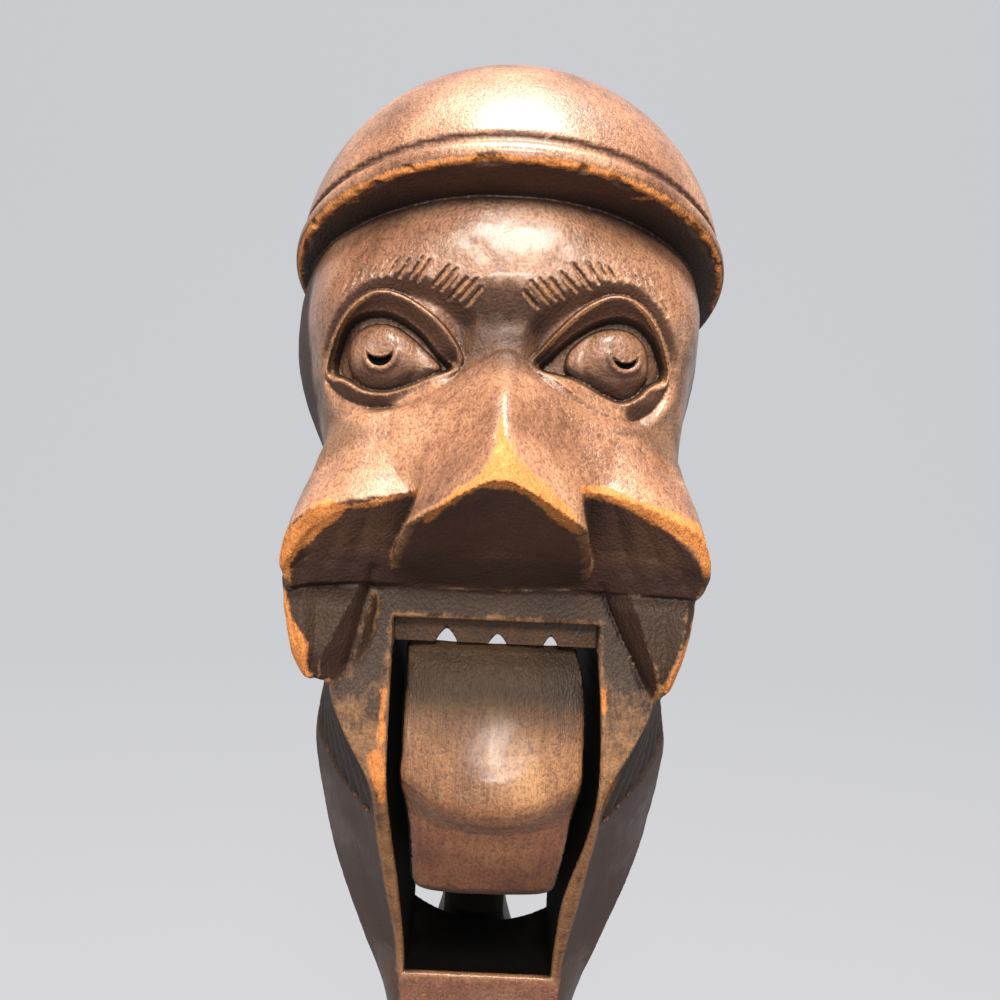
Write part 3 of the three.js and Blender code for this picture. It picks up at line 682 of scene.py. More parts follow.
EYEBALL_EDGE_WIDTH = 1.7
EYEBALL_EDGE_DROP = 0.75
EYEBALL_ROUND = 9.0
EYEBALL_MOST_DROP = 0.9
EYEBALL_WALL = 3.0
CRESCENT_DEPTH = 0.8
CRESCENT_WALL = (-0.05, 0.28)
CRESCENT_LIP = 0.14
CRESCENT_LIP_OUT = 0.4
CRESCENT_LIP_WIDTH = 0.3
CRESCENT_LIP_BELOW = 0.2
PUPIL_SINK = 0.08
PUPIL_EDGE = 0.3
# Painted black shade in the crescent cut and in the deep gap round the eyeball
CUT_SHADE_EDGE = 0.15
GAP_SHADE = 0.5
GAP_OUTSIDE_BALL = (0.05, 0.3)
GAP_INSIDE_LIDS = (0.1, 0.4)

# Room in the maps round what is drawn
EYE_ROOM = 4.0
STROKE_ROOM = 1.5
GROOVE_ROOM = 4.0
PATCH_ROOM = 2.0

relief, worn, cut_shade, rough = (np.zeros(MAP_X.shape, np.float32) for _ in range(4))


def carve_eye(eye):
    places = {name: seen(np.atleast_2d(points), EYE_REACH) for name, points in eye.items()}
    part = window(places["orbit"], EYE_ROOM)
    x, z = MAP_X[part], MAP_Z[part]
    orbit, lids, opening, eyeball = (outline_distance(x, z, rounded_outline(places[name]))
                                     for name in ("orbit", "lids", "opening", "eyeball"))
    depth = ORBIT_DEPTH * step_between(-orbit, 0, ORBIT_SLOPE_WIDTH)

    # The upper lid turns in from its outer edge; the lower one stands highest beside the eyeball
    (x0, z0), (x1, z1) = places["corners"]
    upper = step_between(z - z0 - (z1 - z0) * (x - x0) / (x1 - x0), *LIDS_MEET)
    across = np.clip(-lids / np.maximum(-lids + np.maximum(opening, 0), 0.05), 0, 1)
    upper_lid = UPPER_LID_CREST + (UPPER_LID_DEPTH - UPPER_LID_CREST) * step_between(across, *UPPER_LID_TURN)
    lower_lid = LOWER_LID_CREST + (LOWER_LID_DEPTH - LOWER_LID_CREST) * (1 - across) ** LOWER_LID_HOLLOW
    lid = lower_lid + (upper_lid - lower_lid) * upper
    depth = depth + (lid - depth) * step_between(-lids, 0, LID_STEP)
    hole = np.minimum(lid + OPENING_SLOPE * np.maximum(-opening, 0), OPENING_DEPTH)

    # The eyeball is a dome with a drop's outline, drawn out towards the nose
    mx, mz = places["middle"][0]
    share = 1 - np.clip(-eyeball / EYEBALL_EDGE_WIDTH, 0, 1)
    dome = EYEBALL_DEPTH + EYEBALL_EDGE_DROP * (1 - np.sqrt(np.maximum(1 - share ** 2, 0)))
    out = np.hypot(x - mx, z - mz)
    dome = dome + np.minimum(out ** 2 / (2 * EYEBALL_ROUND), EYEBALL_MOST_DROP)
    dome = dome + EYEBALL_WALL * np.maximum(eyeball, 0)

    # The pupil is a moon-shaped cut under a disc, with a lip raised round its lower side
    (cx, cz), (px, pz) = places["crescent"][0], places["pupil"][0]
    outer = np.hypot(x - cx, z - cz) - (cz - places["crescent_out"][0, 1])
    inner = np.hypot(x - px, z - pz) - (pz - places["pupil_out"][0, 1])
    moon = np.maximum(outer, -inner)
    dome = dome + CRESCENT_DEPTH * step_between(-moon, *CRESCENT_WALL)
    lip = np.exp(-((outer - CRESCENT_LIP_OUT) / CRESCENT_LIP_WIDTH) ** 2) * (z < cz + CRESCENT_LIP_BELOW)
    dome = dome - CRESCENT_LIP * lip
    dome = dome + PUPIL_SINK * step_between(-inner, 0, PUPIL_EDGE)
    depth = np.where(opening < 0, np.minimum(hole, dome), depth)
    relief[part] = relief[part] + depth
    # Painted black shade in the crescent and in the gap between the eyeball and the lids
    gap = step_between(eyeball, *GAP_OUTSIDE_BALL) * step_between(-opening, *GAP_INSIDE_LIDS)
    cut_shade[part] = np.maximum(step_between(-moon, 0.0, CUT_SHADE_EDGE), GAP_SHADE * gap)


# A cut is shallower at its ends; beside it the wood is pushed up, as shares of its depth and width
STROKE_ENDS = (0.9, 0.05)
STROKE_FADE = 0.5
BURR_HEIGHT = 0.3
BURR_OUT = 0.75
BURR_WIDTH = 0.3


def cut_stroke(start, end, reach, width, depth):
    """A short cut of a veiner, deepest in its middle, with the wood pushed up a little beside it."""
    ends = seen([start, end], reach)
    part = window(ends, STROKE_ROOM)
    off, along = line_distance(MAP_X[part], MAP_Z[part], ends[0], ends[1])
    fade = np.sin(np.pi * np.clip(along * STROKE_ENDS[0] + STROKE_ENDS[1], 0, 1)) ** STROKE_FADE
    burr = np.exp(-((off - width * BURR_OUT) / (width * BURR_WIDTH)) ** 2)
    profile = np.maximum(1 - (off / (width / 2)) ** 2, 0) - BURR_HEIGHT * burr
    relief[part] += depth * fade * profile


GROOVE_ROUND = 1.2
STOP_CUT_ENDS = 1.5
STOP_CUT_EDGE = (-0.1, 0.4)
STOP_CUT_RISE = 2.2


def cut_line(points, reach, width, depth, one_sided):
    """A groove along several points; one_sided sinks the wood below it too, as a stop cut does."""
    places = seen(points, reach)
    part = window(places, GROOVE_ROOM)
    x, z = MAP_X[part], MAP_Z[part]
    nearest = np.full(x.shape, FAR, np.float32)
    for start, end in zip(places, places[1:]):
        nearest = np.minimum(nearest, line_distance(x, z, start, end)[0])
    groove = depth * np.maximum(1 - nearest / (width / 2), 0) ** GROOVE_ROUND
    if one_sided:
        level = np.interp(x, *(places[places[:, 0].argsort()].T))
        left, right = places[:, 0].min(), places[:, 0].max()
        ends = step_between(x, left, left + STOP_CUT_ENDS) * step_between(x, right, right - STOP_CUT_ENDS)
        sunk = step_between(level - z, *STOP_CUT_EDGE) * np.exp(-np.maximum(level - z, 0) / STOP_CUT_RISE)
        groove = groove + one_sided * sunk * ends
    relief[part] += groove


LEFT_BROW_CUTS = [
    ((391, 274), (400, 259)), ((400, 277), (410, 261)), ((411, 278), (424, 259)), ((419, 281), (431, 262)),
    ((434, 287), (449, 268)), ((442, 290), (457, 272)), ((450, 299), (467, 281)), ((461, 299), (476, 282)),
    ((467, 305), (481, 290)),
]
LEFT_FAINT_CUTS = [
    ((340, 296), (348, 284)), ((344, 288), (351, 275)), ((353, 283), (360, 270)), ((362, 278), (369, 264)),
    ((373, 275), (379, 263)), ((382, 275), (389, 261)),
]
RIGHT_BROW_CUTS = [
    ((524, 293), (538, 308)), ((531, 284), (549, 304)), ((540, 282), (556, 300)), ((550, 281), (564, 298)),
    ((561, 275), (578, 293)), ((572, 266), (590, 289)), ((587, 264), (598, 284)), ((598, 266), (605, 279)),
    ((607, 268), (614, 281)),
]
RIGHT_FAINT_CUTS = [
    ((620, 268), (626, 281)), ((632, 270), (638, 284)), ((642, 272), (647, 286)), ((648, 276), (655, 299)),
    ((657, 290), (662, 304)), ((664, 300), (669, 314)),
]
BROW_CUT_WIDTH = 0.5
BROW_CUT_DEPTH = 0.3
FAINT_CUT_DEPTH = 0.2

CHEEK_CREASES = [
    [(317, 471), (332, 460), (349, 451), (372, 443), (390, 438)],
    [(600, 441), (622, 449), (646, 459), (666, 470), (681, 481)],
]
MOUSTACHE_CREASES = [
    [(373, 568), (366, 590), (359, 617), (352, 642), (344, 666)],
    [(604, 588), (613, 612), (624, 638), (636, 664), (647, 690)],
]
FLUTES = [
    [(346, 516), (336, 538), (327, 560)], [(372, 512), (362, 536), (352, 562)],
    [(316, 528), (306, 548), (300, 568)],
    [(641, 526), (654, 552), (665, 583)], [(612, 510), (622, 540), (630, 572)],
    [(668, 540), (678, 560), (686, 584)],
]
# A groove's reach, width and depth, and how far the wood below it sinks
CHEEK_CREASE = (FACE_REACH, 1.4, 0.22, 0.3)
MOUSTACHE_CREASE = (MOUSTACHE_REACH, 1.3, 0.4, 0.0)
FLUTE = (FLUTE_REACH, 2.8, 0.28, 0.0)

# The hatched patch at the top of each side, as places in Y and Z: a row of gouge cuts, side by side
HATCH_OUTLINE = np.array([
    (-21.0, 130.0), (-21.0, 110.5), (-17.6, 112.8), (-13.0, 113.8), (-7.0, 115.6), (-1.0, 118.6),
    (1.5, 121.0), (1.5, 128.8), (-8.0, 130.6),
])
HATCH_PITCH = 2.7
HATCH_SOFT = 0.5
HATCH_SINK = 0.3
HATCH_CUT_DEPTH = 0.5
HATCH_INNER = 12.4
HATCH_SLANT = 0.15
HATCH_EDGE = (0.2, 0.9)


def side_hatch(x, y, z):
    """How deep the hatch is cut there: a sunk patch with a row of grooves."""
    depth = np.zeros(x.shape, np.float32)
    low, high = HATCH_OUTLINE.min(0), HATCH_OUTLINE.max(0)
    near = (np.abs(x) > HATCH_INNER) & (y > low[0]) & (y < high[0]) & (z > low[1]) & (z < high[1])
    inside = step_between(-outline_distance(y[near], z[near], HATCH_OUTLINE), 0, HATCH_SOFT)
    flat = looked_up(HEAD_PLAN, z[near])[0]
    inside *= step_between(np.abs(x[near]) - flat, *HATCH_EDGE)
    groove = 0.5 - 0.5 * np.cos((y[near] + HATCH_SLANT * z[near]) * 2 * math.pi / HATCH_PITCH)
    depth[near] = inside * (HATCH_SINK + HATCH_CUT_DEPTH * groove)
    return depth


def paint(map_values, points, reach, strength, edge):
    """Marks the inside of an outline in a map; the edge is where the mark begins and is full."""
    outline = seen(points, reach)
    part = window(outline, PATCH_ROOM)
    inside = step_between(-outline_distance(MAP_X[part], MAP_Z[part], outline), *edge)
    map_values[part] = np.maximum(map_values[part], strength * inside)


LEFT_CHEEK_WORN = [
    (424, 489), (398, 494), (367, 503), (352, 505), (324, 499), (306, 512), (291, 525), (279, 536),
    (270, 547), (270, 578), (282, 582), (284, 565), (295, 551), (310, 539), (330, 524), (349, 508),
    (367, 507), (398, 498), (423, 494),
]
RIGHT_CHEEK_WORN = [
    (580, 485), (607, 486), (630, 497), (656, 506), (679, 514), (700, 523), (712, 534), (722, 556),
    (716, 580), (707, 578), (705, 567), (693, 548), (670, 533), (647, 521), (632, 511), (609, 502),
    (586, 497), (579, 492),
]
NOSE_WORN = [
    (500, 407), (508, 440), (514, 450), (526, 466), (549, 486), (563, 500), (575, 515), (585, 536),
    (580, 536), (571, 531), (555, 520), (540, 505), (525, 494), (503, 488), (482, 487), (460, 497),
    (442, 511), (424, 525), (419, 522), (434, 508), (452, 494), (480, 474), (494, 452),
]
LEFT_MOUSTACHE_WORN = [
    (274, 585), (284, 590), (289, 604), (293, 618), (302, 628), (308, 640), (309, 654), (307, 668),
    (312, 688), (296, 684), (280, 650), (270, 615),
]
RIGHT_MOUSTACHE_WORN = [
    (701, 596), (697, 596), (694, 614), (689, 632), (681, 650), (672, 668), (663, 690), (662, 700),
    (668, 704), (684, 682), (697, 645), (704, 612),
]

CHEEK_WORN_REACH = 25.0
NOSE_WORN_REACH = 32.0
SLOT_WORN_REACH = 18.0
SLOT_WORN = 0.85
WORN_DEPTH = 0.05
WORN_EDGE = (-0.5, 0.5)
ROUGH_EDGE = (0, 1.2)
BROW_HOLLOW_DEPTH = 1.3
BROW_HOLLOW_MIDDLE = -0.4
BROW_HOLLOW_TOP = (174.5, 168.5)
BROW_HOLLOW_FOOT = (160, 166)
BROW_HOLLOW_SIDE = (8.5, 3.5)
SLOT_CORNERS_WORN = [
    [(380, 690), (386, 688), (386, 735), (383, 760), (378, 740)],
    [(366, 752), (385, 746), (388, 800), (380, 806), (370, 772)],
    [(599, 688), (607, 690), (606, 716), (600, 714)],
    [(610, 778), (624, 776), (620, 800), (606, 832), (598, 828), (602, 800)],
]

for eye in (LEFT_EYE, RIGHT_EYE):
    carve_eye(eye)
for strokes, depth in ((LEFT_BROW_CUTS, BROW_CUT_DEPTH), (RIGHT_BROW_CUTS, BROW_CUT_DEPTH),
                       (LEFT_FAINT_CUTS, FAINT_CUT_DEPTH), (RIGHT_FAINT_CUTS, FAINT_CUT_DEPTH)):
    for start, end in strokes:
        cut_stroke(start, end, BROW_REACH, BROW_CUT_WIDTH, depth)
for lines, groove in ((CHEEK_CREASES, CHEEK_CREASE), (MOUSTACHE_CREASES, MOUSTACHE_CREASE), (FLUTES, FLUTE)):
    for line in lines:
        cut_line(line, *groove)

# Skin that was never smoothed: dark and coarse, beside the eyes and above the cheeks' creases
ROUGH_SKIN = [
    [(296, 350), (318, 372), (321, 398), (340, 412), (372, 424), (394, 432), (368, 446), (336, 460),
     (314, 470), (292, 502), (274, 520), (284, 470), (300, 430)],
    [(704, 330), (684, 352), (674, 392), (654, 416), (622, 424), (600, 434), (636, 446), (664, 466),
     (684, 482), (706, 512), (700, 470), (690, 420)],
]
# Outlines, how far in front of the cap's axis they lie, and how much the wood is rubbed there
for outlines, reach, strength in (
        ((LEFT_CHEEK_WORN, RIGHT_CHEEK_WORN), CHEEK_WORN_REACH, 1.0), ((NOSE_WORN,), NOSE_WORN_REACH, 1.0),
        ((LEFT_MOUSTACHE_WORN, RIGHT_MOUSTACHE_WORN), MOUSTACHE_REACH, 1.0),
        (SLOT_CORNERS_WORN, SLOT_WORN_REACH, SLOT_WORN)):
    for outline in outlines:
        paint(worn, outline, reach, strength, WORN_EDGE)
for outline in ROUGH_SKIN:
    paint(rough, outline, FACE_REACH, 1.0, ROUGH_EDGE)
hollow = (step_between(MAP_Z, *BROW_HOLLOW_TOP) * step_between(MAP_Z, *BROW_HOLLOW_FOOT)
          * step_between(np.abs(MAP_X - BROW_HOLLOW_MIDDLE), *BROW_HOLLOW_SIDE))
relief += WORN_DEPTH * worn
relief += BROW_HOLLOW_DEPTH * hollow

RELIEF_BACK = ((128, 137), (0.0, -15.0))
RELIEF_FADE = 6.0
tool_marks = Lumps(seed=11, size=3.4)
fine_marks = Lumps(seed=23, size=1.1)
TOOL_MARK_HEIGHT = 0.07
FINE_MARK_HEIGHT = 0.035
FACE_BLEND = 0.6
CAP_SEAM = 0.2
FOOT_ROUND = 0.6


# The slot through the head, the mouth with its teeth, the nut's room and the bore

SLOT_WALLS = smooth_table([
    (86, -9.4, 8.9), (90.6, -9.4, 8.9), (97.2, -9.6, 9.1), (102.8, -9.9, 9.4), (107, -10.2, 10.2),
    (111, -10.6, 11.2), (117, -11.0, 12.0), (128, -11.2, 12.0), (133.4, -11.2, 11.6), (138, -11.2, 11.6),
])
SLOT_MIDDLE = 0.4
SLOT_HALF = 11.5
FLOOR_DIP = 4.6
FLOOR_DIP_BETWEEN = (7.5, 13.0)
TOOTH_BAR_FRONT = -15.2
BAR_EDGE = 133.72
# The gaps between the teeth: the top of each in the photograph, and its half-width
NOTCHES = [((447, 628), 1.2), ((498, 634), 1.0), ((551, 636.5), 0.8)]
NOTCH_ROUND = 1.3
NOTCH_STEEPNESS = 0.8
NOTCH_FOOT = 1.5
NOTCH_BACK = -4
FRAME_CUT_FOOT = 2
NUT_ROOM_CENTRE = (0.0, -1.44, 134.3)
NUT_ROOM_RADII = (9.8, 10.56, 5.28)
SLOT_EDGE_ROUND = 0.45


def mouth_form(x, y, z):
    left, right = looked_up(SLOT_WALLS, z)
    side = np.maximum(left - x, x - right)
    dip = FLOOR_DIP * ((x - SLOT_MIDDLE) / SLOT_HALF) ** 2 * step_between(y, *FLOOR_DIP_BETWEEN)
    slot = np.maximum(np.maximum(side, SLOT_FLOOR + dip - z), z - BAR_EDGE)
    frame_cut = np.maximum(np.maximum(side, z - MOUTH_TOP),
                           np.maximum(BAR_EDGE - FRAME_CUT_FOOT - z, y - TOOTH_BAR_FRONT))
    room = ball(x, y, z, NUT_ROOM_CENTRE, NUT_ROOM_RADII)
    bore = np.hypot(y - HINGE_BACK, z - HINGE_LEVEL) - PIN_BORE_RADIUS
    cut = np.minimum(np.minimum(slot, frame_cut), np.minimum(room, bore))
    for (px, py), half in NOTCHES:
        middle, top = seen([(px, py)], -TOOTH_BAR_FRONT)[0]
        rise = np.maximum(z - BAR_EDGE, 0) / (top - BAR_EDGE)
        grown = (np.abs(x - middle) / half) ** NOTCH_ROUND + rise ** NOTCH_ROUND
        notch = (grown ** (1 / NOTCH_ROUND) - 1) * half * NOTCH_STEEPNESS
        notch = np.maximum(notch, np.maximum(BAR_EDGE - NOTCH_FOOT - z, y - NOTCH_BACK))
        cut = np.minimum(cut, notch)
    return cut


def head_form(x, y, z):
    wood = smooth_min(head_block(x, y, z), ball(x, y, z, HAIR_CENTRE, HAIR_RADII), HAIR_BLEND)
    wood = smooth_min(wood, face_forms(x, y, z), FACE_BLEND) + side_hatch(x, y, z)
    back = np.interp(z, *RELIEF_BACK)
    wood = wood + read_map(relief, x, z) * step_between(y, back + RELIEF_FADE, back)
    wood = wood + TOOL_MARK_HEIGHT * tool_marks.at(x, y, z) + FINE_MARK_HEIGHT * fine_marks.at(x, y, z)
    wood = smooth_min(wood, cap_form(x, y, z), CAP_SEAM)
    wood = smooth_max(wood, FOOT_LEVEL - z, FOOT_ROUND)
    return smooth_max(wood, -mouth_form(x, y, z), SLOT_EDGE_ROUND)


# The jaw lever: a jaw block, the arm through the slot, and the rear handle

# The jaw from the side, as places in Y and Z at its middle
JAW_CHIN = [(-14.0, 105.0), (-16.2, 106.2), (-17.3, 110.8), (-17.9, 114.4), (-18.5, 115.6)]
JAW_LIP = smooth_table([
    (116.5, -19.2), (117.9, -19.9), (120.5, -19.9), (124.5, -19.3), (128.5, -18.2), (131.6, -16.8),
    (133.1, -15.4),
], steps=3)
JAW_INSIDE = [
    (-14.0, 133.62), (2.0, 129.4), (8.4, 125.9), (17.0, 118.9), (19.6, 110.8), (18.0, 102.1),
    (2.0, 102.1), (-2.0, 104.4),
]
JAW_RIM_DIP = 2.3
JAW_SIDE_BULGE = 2.3
JAW_TOP_HALF = 10.35
JAW_RIM_HALF = 10.2
JAW_CHIN_HALF = 8.5
JAW_SHIFT = 0.4
# The jaw's right side is drawn in behind its front, so that it clears the slot's narrow part as it opens
JAW_RELIEF = 1.0
JAW_RELIEF_BETWEEN = (-16.5, -13.2)
JAW_CHIN_CORNER = 1.5
JAW_EDGE_ROUND = 1.2
JAW_SIDE_ROUND = 0.9
JAW_CORNER_BLEND = 0.8
JAW_SPREAD_AHEAD = (0, -14)
JAW_SHIFT_AHEAD = (6, -4)
JAW_SHIFT_LEVELS = (103, 110)
JAW_RIM_RISES = (111, 115)
JAW_RIM_ENDS = (129, 120)
JAW_MOST_ASIDE = 1.1
# Half-width of the jaw at each level
JAW_WIDTHS = ((CHIN_LEVEL, 113, 118, JAW_TOP), (JAW_CHIN_HALF, 9.2, JAW_RIM_HALF, JAW_TOP_HALF))
NUT_CUP_CENTRE = (0.0, -3.4, 134.0)
NUT_CUP_RADII = (9.0, 9.0, 5.8)

# The rear handle and arm: level, middle, half-width, front and rear, up to where it meets the jaw
LEVER_BAR = smooth_table([
    (0, -0.3, 9.98, 18.2, 32.1), (2.7, -0.2, 10.53, 17.55, 33.1), (12, -0.1, 11.2, 17.25, 34.2),
    (27.2, 0, 11.5, 17.2, 34.4), (56.2, -0.1, 10.95, 17.2, 34.4), (68, -0.3, 9.9, 17.2, 34.3),
    (76.1, -0.5, 8.88, 17.2, 34.15), (82, -1.0, 6.9, 17.2, 33.6), (86.1, -1.3, 5.6, 17.2, 33.29),
    (90.6, -1.3, 4.7, 16.9, 32.7), (92.6, -1.3, 4.9, 16.75, 32.4), (94.3, -1.2, 6.1, 16.6, 32.2),
    (95.8, -1.1, 7.3, 16.3, 31.9), (98.4, -1.0, 7.7, 15.0, 31.2), (103.3, -1.0, 7.8, 12.01, 29.66),
    (112.3, -1.0, 7.8, 7.69, 26.71), (121.4, -1.0, 7.6, 5.1, 22.39),
])
LEVER_ROUND = 2.8
LEVER_TOP = 121.4
LEVER_BLEND = 0.8
LEVER_FINE_MARK_HEIGHT = 0.02
CUP_EDGE_ROUND = 0.4


def drawn_in(points, distance):
    """The outline moved inwards by a distance, so that a round edge of that size brings it back."""
    before, after = np.roll(points, 1, axis=0), np.roll(points, -1, axis=0)
    along = after - before
    along /= np.linalg.norm(along, axis=1, keepdims=True)
    turn = points[:, 0] * np.roll(points[:, 1], -1) - np.roll(points[:, 0], -1) * points[:, 1]
    inward = np.stack([-along[:, 1], along[:, 0]], 1) * np.sign(turn.sum())
    return points + inward * distance


jaw_lip = [(place, level) for level, (place,) in zip(*JAW_LIP)]
JAW_OUTLINE = drawn_in(np.array(JAW_CHIN + jaw_lip + JAW_INSIDE), JAW_SIDE_ROUND)


def jaw_block(x, y, z):
    spread = step_between(y, *JAW_SPREAD_AHEAD)
    x = x - JAW_SHIFT * step_between(y, *JAW_SHIFT_AHEAD) * step_between(z, *JAW_SHIFT_LEVELS)
    aside = np.clip(x / SLOT_HALF, -JAW_MOST_ASIDE, JAW_MOST_ASIDE) ** 2
    back = y - JAW_SIDE_BULGE * aside * spread
    rim = step_between(z, *JAW_RIM_RISES) * step_between(z, *JAW_RIM_ENDS) * spread
    level = z + JAW_RIM_DIP * (1 - 2 * aside) * rim
    side_view = outline_distance(back, level, JAW_OUTLINE) - JAW_SIDE_ROUND
    half_width = np.interp(z, *JAW_WIDTHS).astype(np.float32)
    half_width = half_width - JAW_RELIEF * step_between(y, *JAW_RELIEF_BETWEEN) * (x > 0)
    wood = smooth_max(side_view, np.abs(x) - half_width, JAW_EDGE_ROUND)
    corner = (np.abs(x) - (JAW_CHIN_HALF - JAW_CHIN_CORNER) + (CHIN_LEVEL - z)) * math.sqrt(0.5)
    corner = np.where(y < HINGE_BACK, corner, -FAR)
    return smooth_max(wood, corner, JAW_CORNER_BLEND)


def jaw_form(x, y, z):
    middle, half_width, front, rear = looked_up(LEVER_BAR, z)
    deep = (rear - front) / 2
    u, v = np.abs(x - middle) / half_width, np.abs(y - (front + rear) / 2) / deep
    bar = np.maximum(oval_distance(u, v, half_width, deep, LEVER_ROUND), z - LEVER_TOP)
    wood = smooth_min(jaw_block(x, y, z), bar, LEVER_BLEND)
    wood = wood + TOOL_MARK_HEIGHT * tool_marks.at(x, y, z) + LEVER_FINE_MARK_HEIGHT * fine_marks.at(x, y, z)
    wood = smooth_max(wood, FOOT_LEVEL - z, FOOT_ROUND)
    cup = ball(x, y, z, NUT_CUP_CENTRE, NUT_CUP_RADII)
    bore = np.hypot(y - HINGE_BACK, z - HINGE_LEVEL) - LEVER_BORE_RADIUS
    return smooth_max(wood, -np.minimum(cup, bore), CUP_EDGE_ROUND)


HEAD_LOW, HEAD_HIGH = (-28.0, -36.0, -1.0), (28.0, 28.0, 205.0)
JAW_LOW, JAW_HIGH = (-12.5, -21.5, -1.0), (12.5, 36.0, 136.0)
HEAD_TRIANGLES = 132000
JAW_TRIANGLES = 70000
EYES_FROM, EYES_TO, EYES_AHEAD = 157, 176, -9
RIM_MIDDLE, RIM_HALF, RIM_AHEAD = -0.6, 1.4, -2


def close_to_face(place):
    """True near the eyes and along the front of the cap's rim, where the finest cuts and chips are."""
    up = from_cap(*place)[0]
    by_eyes = EYES_FROM < place[2] < EYES_TO and place[1] < EYES_AHEAD
    return by_eyes or (abs(up - RIM_MIDDLE) < RIM_HALF and place[1] < RIM_AHEAD)


head, head_points, head_normals = carved("head_carving", head_form, HEAD_LOW, HEAD_HIGH,
                                         HEAD_TRIANGLES, close_to_face)
jaw, jaw_points, jaw_normals = carved("jaw_carving", jaw_form, JAW_LOW, JAW_HIGH, JAW_TRIANGLES)


# What the finish follows: where the wood is sharp, sheltered and rubbed, and where shade is painted on it

EDGE_PROBE = 0.7
# How far out from the surface a point looks for wood that shades it, for painted shade in creases and
# sheltered places
CREASE_PROBE = 1.0
SHELTER_PROBE = 5.0
UNDERSIDE = (0.02, 0.4)
# Shares of a full mark; the bar's black, the brow hollow's dark and the side facets' dark are painted shade,
# and the lit chin is spared part of the painted underside shade
CAP_RIM_RUBBED = 0.65
BAR_RUBBED = 0.5
BAR_BLACK_SHADE = 0.45
JAW_RIM_RUBBED = 0.25
HATCH_DIRT = 0.95
HOLLOW_SHADE = 0.85
FACET_DARK = 0.8
ROUGH_DARK = 0.55
JAW_REDDENED = 0.7
UNDER_RIM_LIT = 0.65


# Where a mark begins and is full: distances, places and levels in millimetres, or shares of a normal
MOUTH_SKIN = (0.5, 0.2)
MOUTH_BEHIND_FRONT = (0.25, 0.9)
BAR_RISE = (BAR_EDGE - 0.1, BAR_EDGE)
HATCH_SUNK = (0.1, 0.8 * HATCH_SINK)
HOLLOW_AHEAD = (-12, -15)
WORN_AHEAD = (-12, -17)
CUT_SHADE_AHEAD = (-12, -16)
FACING = (-0.1, 0.35)
CAP_RIM_OUT = (25.5, 26.1)
CAP_RIM_LEVEL = CAP_UNDER + 0.1
CAP_RIM_OFF = (0.8, 0.3)
CAP_RIM_AHEAD = (8, -6)
RED_LEVELS = (122, 108)
RED_AHEAD = (4, -6)
LOWER_FACE_TOP = (144.5, 142.5)
LOWER_FACE_FOOT = (106, 116)
FACET_TURNED = (0.55, 0.8)
FACET_LEVELS = (132, 124)
HAIR_SKIN = (1.2, 0.5)
HAIR_BEHIND = (-15, -10)
UNDER_RIM_TOP = (120, 117)
UNDER_RIM_FOOT = (108, 112)
JAW_RIM_LEVEL = 117.4
JAW_RIM_WIDTH = 0.7
JAW_RIM_AHEAD = (-16, -18.5)
SHADE_FACING = (0.05, 0.4)
SHADE_LEVELS = (82, 88)
SHADE_BEHIND = (-2, 4)
SHADE_PAST_HEAD = (8, 6)
SLOT_REAR_PAST_HEAD = (5.5, 4)
SLOT_REAR_LEVELS = (86, 90)
SLOT_REAR_BEHIND = (2, 6)
JAW_SIDE_TURNED = (0.6, 0.9)
JAW_SIDE_LEVELS = (100, 104)
JAW_SIDE_BEHIND = (-19, -16.5)
JAW_RED_LEVELS = (119, 112)
# Where the painted shadow on the jaw's top begins and is full
JAW_TOP_SHADOW_LEVELS = (121, 129)
JAW_TOP_SHADOW_AHEAD = (0, -6)
ARM_BEHIND = (-6, 2)


def zone(*limits):
    """Where several values are all past their limits, each of which begins and is full somewhere."""
    share = 1.0
    for value, limit in limits:
        share = share * step_between(value, *limit)
    return share


def finish_marks(piece, form, points, normals, shade_and_dirt, under_share):
    """Stores on the piece how sharp each point's edge is, how sheltered it lies and if it looks down, the
    last two for painted shade; the shelter also takes the painted shade and dirt given.
    """
    def probed(distance):
        moved = (points + normals * distance).astype(np.float32)
        return form(moved[:, 0], moved[:, 1], moved[:, 2])
    shelter = np.clip(1 - probed(SHELTER_PROBE) / SHELTER_PROBE, 0, 1)
    add_attribute(piece, "edge", np.clip(1 + probed(-EDGE_PROBE) / EDGE_PROBE, 0, 1))
    add_attribute(piece, "crease", np.clip(1 - probed(CREASE_PROBE) / CREASE_PROBE, 0, 1))
    add_attribute(piece, "shelter", np.maximum(shelter, shade_and_dirt))
    # Painted shade: faces that look down are darkened for the shade under them
    add_attribute(piece, "underside", under_share * step_between(-normals[:, 2], *UNDERSIDE))


hx, hy, hz = (head_points[:, axis].astype(np.float32) for axis in range(3))
behind_front = hy - looked_up(HEAD_PLAN, hz)[1]
in_mouth = zone((np.abs(mouth_form(hx, hy, hz)), MOUTH_SKIN), (behind_front, MOUTH_BEHIND_FRONT))
above_bar = step_between(hz, *BAR_RISE)
on_bar = in_mouth * above_bar
in_hatch = step_between(side_hatch(hx, hy, hz), *HATCH_SUNK)
in_hollow = read_map(hollow, hx, hz) * step_between(hy, *HOLLOW_AHEAD)
# Painted shade on the recessed tooth bar and in the hollow between the brows, with the sunk hatch's own
# darker grooves
head_shade_and_dirt = np.maximum(np.maximum(on_bar, HATCH_DIRT * in_hatch), HOLLOW_SHADE * in_hollow)
finish_marks(head, head_form, head_points, head_normals, head_shade_and_dirt, 1.0)

